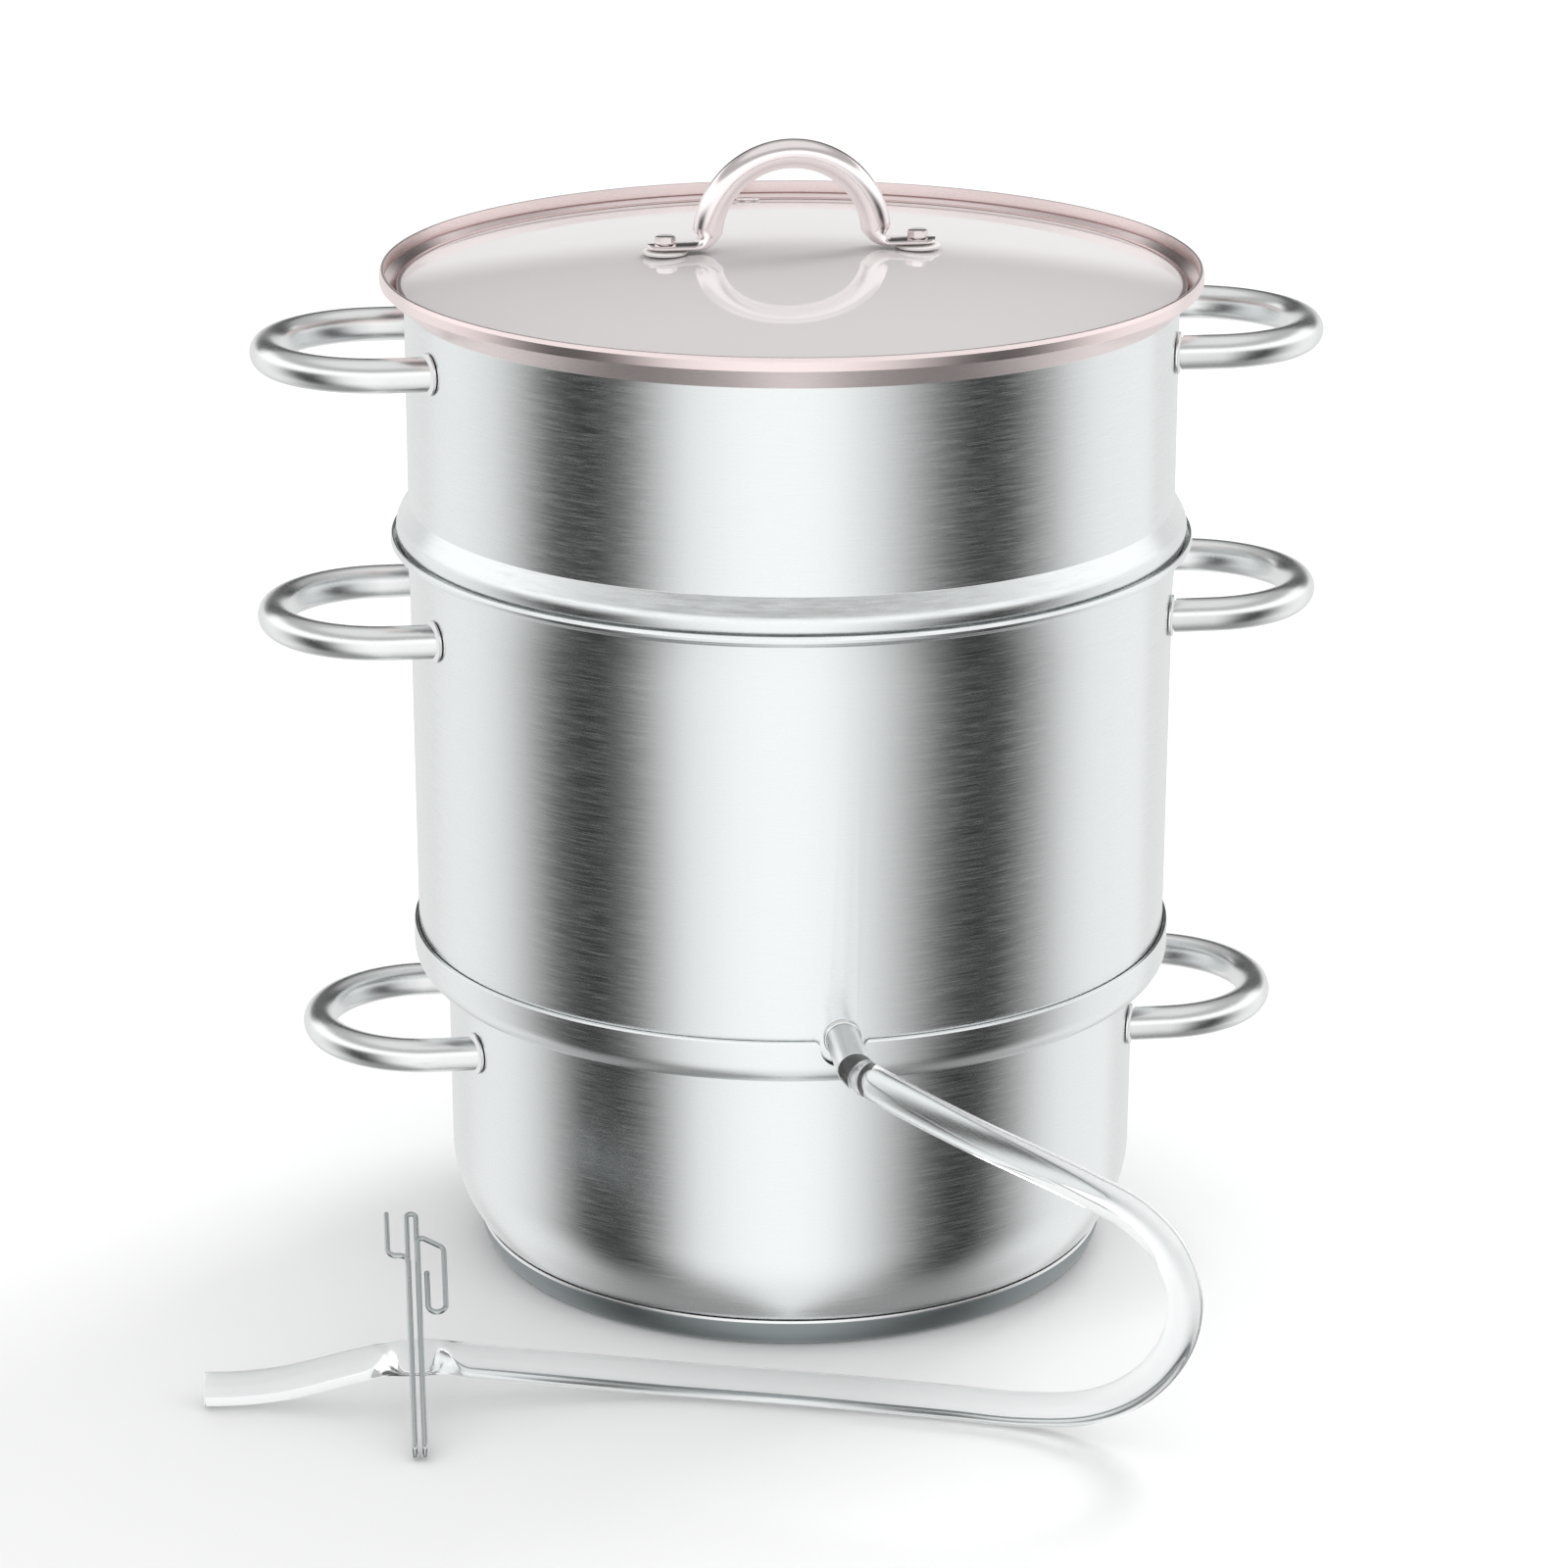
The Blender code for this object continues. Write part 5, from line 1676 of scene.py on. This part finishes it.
    def screw(self, at: Vector) -> BMesh:
        """Turn one screw with a chamfered six-sided head.

        Args:
            at: Where its axis stands.

        Returns:
            The screw.
        """
        low = self.tab_low + self.tab_thickness + GAP
        top = low + self.head_height
        shank_low = self.nut_top - self.nut_height + self.nut_cap + GAP
        place = Matrix.Translation((at.x, at.y, 0.0))
        blank = lathe(
            [(0.0, low), (self.head_radius, low), (self.head_radius, top), (0.0, top)], HEX_STEPS, place,
        )
        face = self.head_radius * math.cos(math.pi / HEX_STEPS) - self.head_chamfer
        reach = face + OVERRUN
        drop = OVERRUN * math.tan(HEAD_SLOPE)
        cone = lathe(
            [(face, top), (face, top + MERGE), (reach, top + MERGE), (reach, top - drop)],
            SMALL_STEPS, place,
        )
        shank = upright(self.screw_radius, shank_low, (low + top) / 2, at)
        return carve(carve(blank, cone), shank, Joinery.WELD)

    @property
    def nut_top(self) -> float:
        """Height of the cap nuts' upper side."""
        return self.under_gasket_top - self.gasket_thickness - GAP

    def washer(self, low: float, at: Vector) -> BMesh:
        """Mould one gasket with eased edges.

        Args:
            low: Height of its under side.
            at: Where its axis stands.

        Returns:
            The gasket.
        """
        bore, radius, ease = self.screw_radius + GAP, self.gasket_radius, self.gasket_ease
        high = low + self.gasket_thickness
        outline = [
            (bore, low), *round_arc((radius - ease, low + ease), ease, -90.0, 0.0, self.gasket_ease_steps),
            *round_arc((radius - ease, high - ease), ease, 0.0, 90.0, self.gasket_ease_steps),
            (bore, high),
        ]
        return lathe(outline, SMALL_STEPS, Matrix.Translation((at.x, at.y, 0.0)))

    def cap_nut(self, at: Vector) -> BMesh:
        """Forge one six-sided nut with a blind hole.

        Args:
            at: Where its axis stands.

        Returns:
            The nut.
        """
        hole = self.screw_radius + GAP
        low = self.nut_top - self.nut_height
        corner = self.nut_across / 2 / math.cos(math.pi / HEX_STEPS)
        return lathe([
            (0.0, low), (corner, low), (corner, self.nut_top), (hole, self.nut_top),
            (hole, low + self.nut_cap), (0.0, low + self.nut_cap),
        ], HEX_STEPS, Matrix.Translation((at.x, at.y, 0.0)))

    def eyelet(self) -> BMesh:
        """Roll the vent's eyelet, which grips the glass from both sides.

        Returns:
            The eyelet.
        """
        half = self.glass_thickness / 2 + GAP
        lip = self.vent_flange / 2
        outer = round_arc((self.vent_flange_radius - lip, -half - lip), lip, -90.0, 90.0)
        upper = round_arc((self.vent_flange_radius - lip, half + lip), lip, -90.0, 90.0)
        tip = half + self.vent_flange
        at, tilt = self.vent_axes()
        return lathe([
            (self.vent_bore, -tip), *outer, (self.vent_barrel, -half), (self.vent_barrel, half), *upper,
            (self.vent_bore, tip),
        ], self.vent_sides, Matrix.Translation(at) @ tilt)

    def build(self) -> None:
        """Make the pane, the band, the vent, the handle and its fasteners."""
        add_piece("lid_glass_pane", self.pane(), self.glass, Body.LID, Slot.GLASS, "lid_glass")
        add_piece("lid_rolled_band", self.band(), self.band_steel, Body.LID, Slot.BRIGHT, "lid_band")
        add_piece("lid_arch", self.arch(), self.bright, Body.LID, Slot.BRIGHT, "lid_handle")
        add_piece("lid_vent", self.eyelet(), self.bright, Body.LID, Slot.BRIGHT, "vent_eyelet")
        for side in Side:
            at = self.screw_place(side)
            label = side.label
            add_piece(f"lid_{label}_screw", self.screw(at), self.bright, Body.LID, Slot.BRIGHT,
                      f"lid_screw_{label}")
            add_piece(f"lid_{label}_cap_nut", self.cap_nut(at), self.bright, Body.LID, Slot.BRIGHT,
                      f"lid_nut_{label}")
            add_piece(f"lid_{label}_upper_gasket", self.washer(self.gasket_low, at), self.rubber, Body.LID,
                      Slot.GASKET, f"lid_gasket_top_{label}")
            low = self.under_gasket_top - self.gasket_thickness
            add_piece(f"lid_{label}_lower_gasket", self.washer(low, at), self.rubber, Body.LID,
                      Slot.GASKET, f"lid_gasket_under_{label}")


# Route of the hose past the spout's mouth, in mm, chosen as for the imported solid
HOSE_ROUTE = [
    (2.6, -166.5, 118.9), (9.5, -177.5, 117.9), (20.0, -189.0, 115.0), (33.0, -199.0, 110.6),
    (48.2, -206.8, 104.8), (64.5, -212.5, 97.6), (80.5, -215.5, 88.4), (92.0, -216.1, 75.0),
    (97.5, -214.5, 57.5), (95.5, -209.0, 39.0), (86.5, -200.5, 22.5), (72.0, -189.5, 11.0),
    (52.5, -178.0, 6.2), (31.0, -169.0, 5.8), (10.0, -161.5, 5.8), (-6.0, -155.8, 5.8),
    (-22.0, -150.4, 5.8), (-53.0, -141.6, 6.2), (-72.0, -138.4, 7.6), (-92.0, -137.8, 10.4),
    (-110.0, -139.2, 13.8), (-124.0, -141.2, 16.9), (-133.0, -142.4, 18.9), (-141.3, -142.8, 19.7),
    (-149.9, -142.2, 19.2), (-160.0, -139.8, 16.8), (-171.5, -136.2, 12.6), (-184.0, -132.4, 8.4),
    (-197.0, -129.6, 6.1), (-210.0, -128.4, 5.8),
]
# The point of the route where the clamp nips the hose
PINCH_POINT = 23
PINCH_PLACE = Vector(HOSE_ROUTE[PINCH_POINT]) * MM


@dataclass
class WireClamp:
    """One bent wire: a hook, two jaws of paired bars that nip the hose, and a finger loop."""

    bright: Material
    jaw_opening: float = 2.4 * MM
    wire_radius: float = 0.9 * MM
    wire_sides: int = 20
    bar_spacing: float = 3.2 * MM
    bar_low: float = 38.0 * MM
    bar_high: float = 42.0 * MM
    spike_high: float = 63.0 * MM
    hook_spread: float = 8.3 * MM
    hook_high: float = 61.0 * MM
    loop_spread: float = 10.2 * MM
    loop_inner: float = 4.4 * MM
    loop_top: float = 50.8 * MM
    loop_shoulder: float = 45.0 * MM
    loop_low: float = 20.0 * MM
    loop_end: float = 34.7 * MM
    bend: float = 2.9 * MM
    tilt: float = math.radians(2.0)

    @property
    def jaw(self) -> float:
        """Distance of the wire's middle from the middle of the nipped hose."""
        return self.jaw_opening / 2 + GAP + self.wire_radius

    def axes(self) -> Matrix:
        """The clamp's own axes: X across it, Y up along its bars, Z through its jaws.

        Returns:
            The matrix from the clamp's axes to the model's.
        """
        lean = math.asin((PINCH_PLACE.z - self.jaw - self.wire_radius - GAP) / self.bar_low)
        turn = Matrix.Rotation(lean, 4, "X") @ Matrix.Rotation(-self.tilt, 4, "Z")
        return Matrix.Translation(PINCH_PLACE) @ turn

    def corners(self) -> list[tuple[Vector, float]]:
        """Each corner of the wire with the radius of its bend, in the clamp's own axes.

        Returns:
            The corners from the hook to the end of the finger loop.
        """
        half, jaw, bend = self.bar_spacing / 2, self.jaw, self.bend
        foot = -self.bar_low - jaw
        tip = self.spike_high + half
        reach = (self.loop_spread - self.loop_inner) / 2
        table = [
            (-self.hook_spread, self.hook_high, jaw, 0.0),
            (-self.hook_spread, self.bar_high, jaw, bend),
            (-half, self.bar_high, jaw, bend),
            (-half, foot, jaw, jaw),
            (-half, foot, -jaw, jaw),
            (-half, tip, -jaw, half),
            (half, tip, -jaw, half),
            (half, foot, -jaw, jaw),
            (half, foot, jaw, jaw),
            (half, self.loop_top, jaw, half),
            (self.loop_spread, self.loop_shoulder, jaw, bend),
            (self.loop_spread, self.loop_low - reach, jaw, reach),
            (self.loop_inner, self.loop_low - reach, jaw, reach),
            (self.loop_inner, self.loop_end, jaw, 0.0),
        ]
        return [(Vector(row[:3]), row[3]) for row in table]

    def build(self) -> Object:
        """Bend the wire.

        Returns:
            The clamp.
        """
        axes = self.axes()
        path = [axes @ point for point in eased_path(self.corners())]
        section = (self.wire_radius, self.wire_radius)
        bm = rod(path, [section] * len(path), self.wire_sides, self.wire_radius / 2)
        return add_piece("hose_wire_clamp", bm, self.bright, Body.KETTLE, Slot.BRIGHT, "hose_clamp")


@dataclass
class DrainHose:
    """Clear hose pushed over the spout, nipped by the clamp, and lying on the floor to a bare end."""

    vinyl: Material
    kettle: JuiceKettle
    clamp: WireClamp
    radius: float = 5.7 * MM
    wall: float = 0.7 * MM
    length: float = 540.0 * MM
    step: float = 2.0 * MM
    sides: int = 40
    nip_width: float = 15.6 * MM
    nip_flat: float = 3.2 * MM
    nip_length: float = 16.0 * MM

    def path(self) -> list[Vector]:
        """The hose's centreline, from the spout's collar to its bare end.

        Returns:
            Its points.
        """
        kettle = self.kettle
        height = kettle.spout_height
        foot = kettle.radius_low + 2 * GAP + kettle.collar_thickness
        mouth = kettle.radius_low + kettle.spout_reach
        start = Vector((0.0, -foot, height))
        count = round((mouth - foot) / self.step)
        on_spout = [start - BACK * (mouth - foot) * index / count for index in range(count)]
        route = [Vector((0.0, -mouth, height))] + [Vector(point) * MM for point in HOSE_ROUTE]
        return on_spout + smooth_path(route, self.step)

    def nip(self, verts: Sequence[bmesh.types.BMVert], radius: float, thickness: float, width: float) -> None:
        """Flatten one skin of the hose between the clamp's jaws.

        Args:
            verts: The skin's vertices.
            radius: Its radius where it is round.
            thickness: Its thickness between the jaws.
            width: Its width between the jaws.
        """
        axes = self.clamp.axes()
        back = axes.inverted()
        for vert in verts:
            local = back @ vert.co
            along = abs(local.x)
            if along > self.nip_length or local.length > self.nip_length + self.radius:
                continue
            share = min(1.0, (self.nip_length - along) / (self.nip_length - self.nip_flat))
            # Eased at both ends, so that the flat runs into the round without a crease
            share = share * share * (3 - 2 * share)
            local.z *= 1 + (thickness / 2 / radius - 1) * share
            local.y *= 1 + (width / 2 / radius - 1) * share
            vert.co = axes @ local

    def build(self) -> None:
        path = self.path()
        frames = frames_along(path, ACROSS)
        bm = bmesh.new()
        ends = []
        for inset in (0.0, self.wall):
            radius = self.radius - inset
            before = set(bm.verts)
            ends.append(sweep(bm, frames, [(radius, radius)] * len(path), self.sides))
            skin = [vert for vert in bm.verts if vert not in before]
            self.nip(skin, radius, self.clamp.jaw_opening - 2 * inset, self.nip_width - 2 * inset)
        for outer, inner in zip(*ends):
            bmesh.ops.bridge_loops(bm, edges=outer + inner)
        bmesh.ops.recalc_face_normals(bm, faces=bm.faces)
        hose = add_piece("juice_hose", bm, self.vinyl, Body.KETTLE, Slot.HOSE, "drain_hose")
        # Seen in the steel it would hide the dark strips, as what lies behind it is plain white
        hose.visible_glossy = False
        clamp = self.clamp.build()


def main() -> None:
    """Build the studio and every piece of the juicer, in order."""
    logging.basicConfig(level=logging.INFO, format="%(message)s")
    Studio().build()
    # Brushed round its axis: soft upright bands of white and grey with fine level lines
    sheet = SpunSteel("brushed_stainless_sheet").make()
    # Polished on the lathe: plainer than the sheet below it, pale and faintly warm
    warm_sheet = SpunSteel(
        "warm_polished_sheet", colour="#F3E4E3", roughness=0.28, roughness_swing=0.01, shade_swing=0.01,
        depth=0.0,
    ).make()
    # Rolled and tumbled: soft white and dark streaks along the rods
    bright = PolishedSteel("tumbled_stainless_rod").make()
    # Turned and left coarse, and darker grey than the pot above it: the darker colour is painted shade on the
    # low base
    base = SpunSteel("turned_stainless_base", colour="#8F9698", roughness=0.45).make()
    # Nearly black steel inside the spout's bore: painted shade, so that the spout's mouth looks deep
    bore_shade = PolishedSteel("juice_stained_bore", colour="#404443", roughness=0.4).make()
    kettle = JuiceKettle(sheet, bright, bore_shade)
    # Drawn through a die: greyer than the rods, with sharp thin highlights
    wire = PolishedSteel("drawn_spring_wire", colour="#BCC1C1", roughness=0.05).make()
    DrainHose(ClearVinyl("clear_vinyl").make(), kettle, WireClamp(wire)).build()
    WaterPot(sheet, bright, base).build()
    kettle.build()
    basket = FruitBasket(sheet, warm_sheet, bright, kettle)
    basket.build()
    # Rolled thin and buffed: a faintly warm grey line round the glass
    band_steel = PolishedSteel("rolled_stainless_band", colour="#DDCBCA", roughness=0.2).make()
    # Buffed tube: the whitest steel here, with a faint warmth and smooth highlights
    arch_steel = PolishedSteel("polished_stainless_tube", colour="#F5EDED", roughness=0.18).make()
    # Mostly a pale matt colour: a painted reflection of the bright studio over the lid
    glass = FloatGlass("tempered_glass").make()
    Lid(glass, band_steel, arch_steel, SiliconeRubber("silicone_rubber").make(), basket).build()
    shown = [name for name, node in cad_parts.items() if not node.hide_render]
    LOG.info("packed solids still showing: %s", shown or "none")


if __name__ == "__main__":
    main()
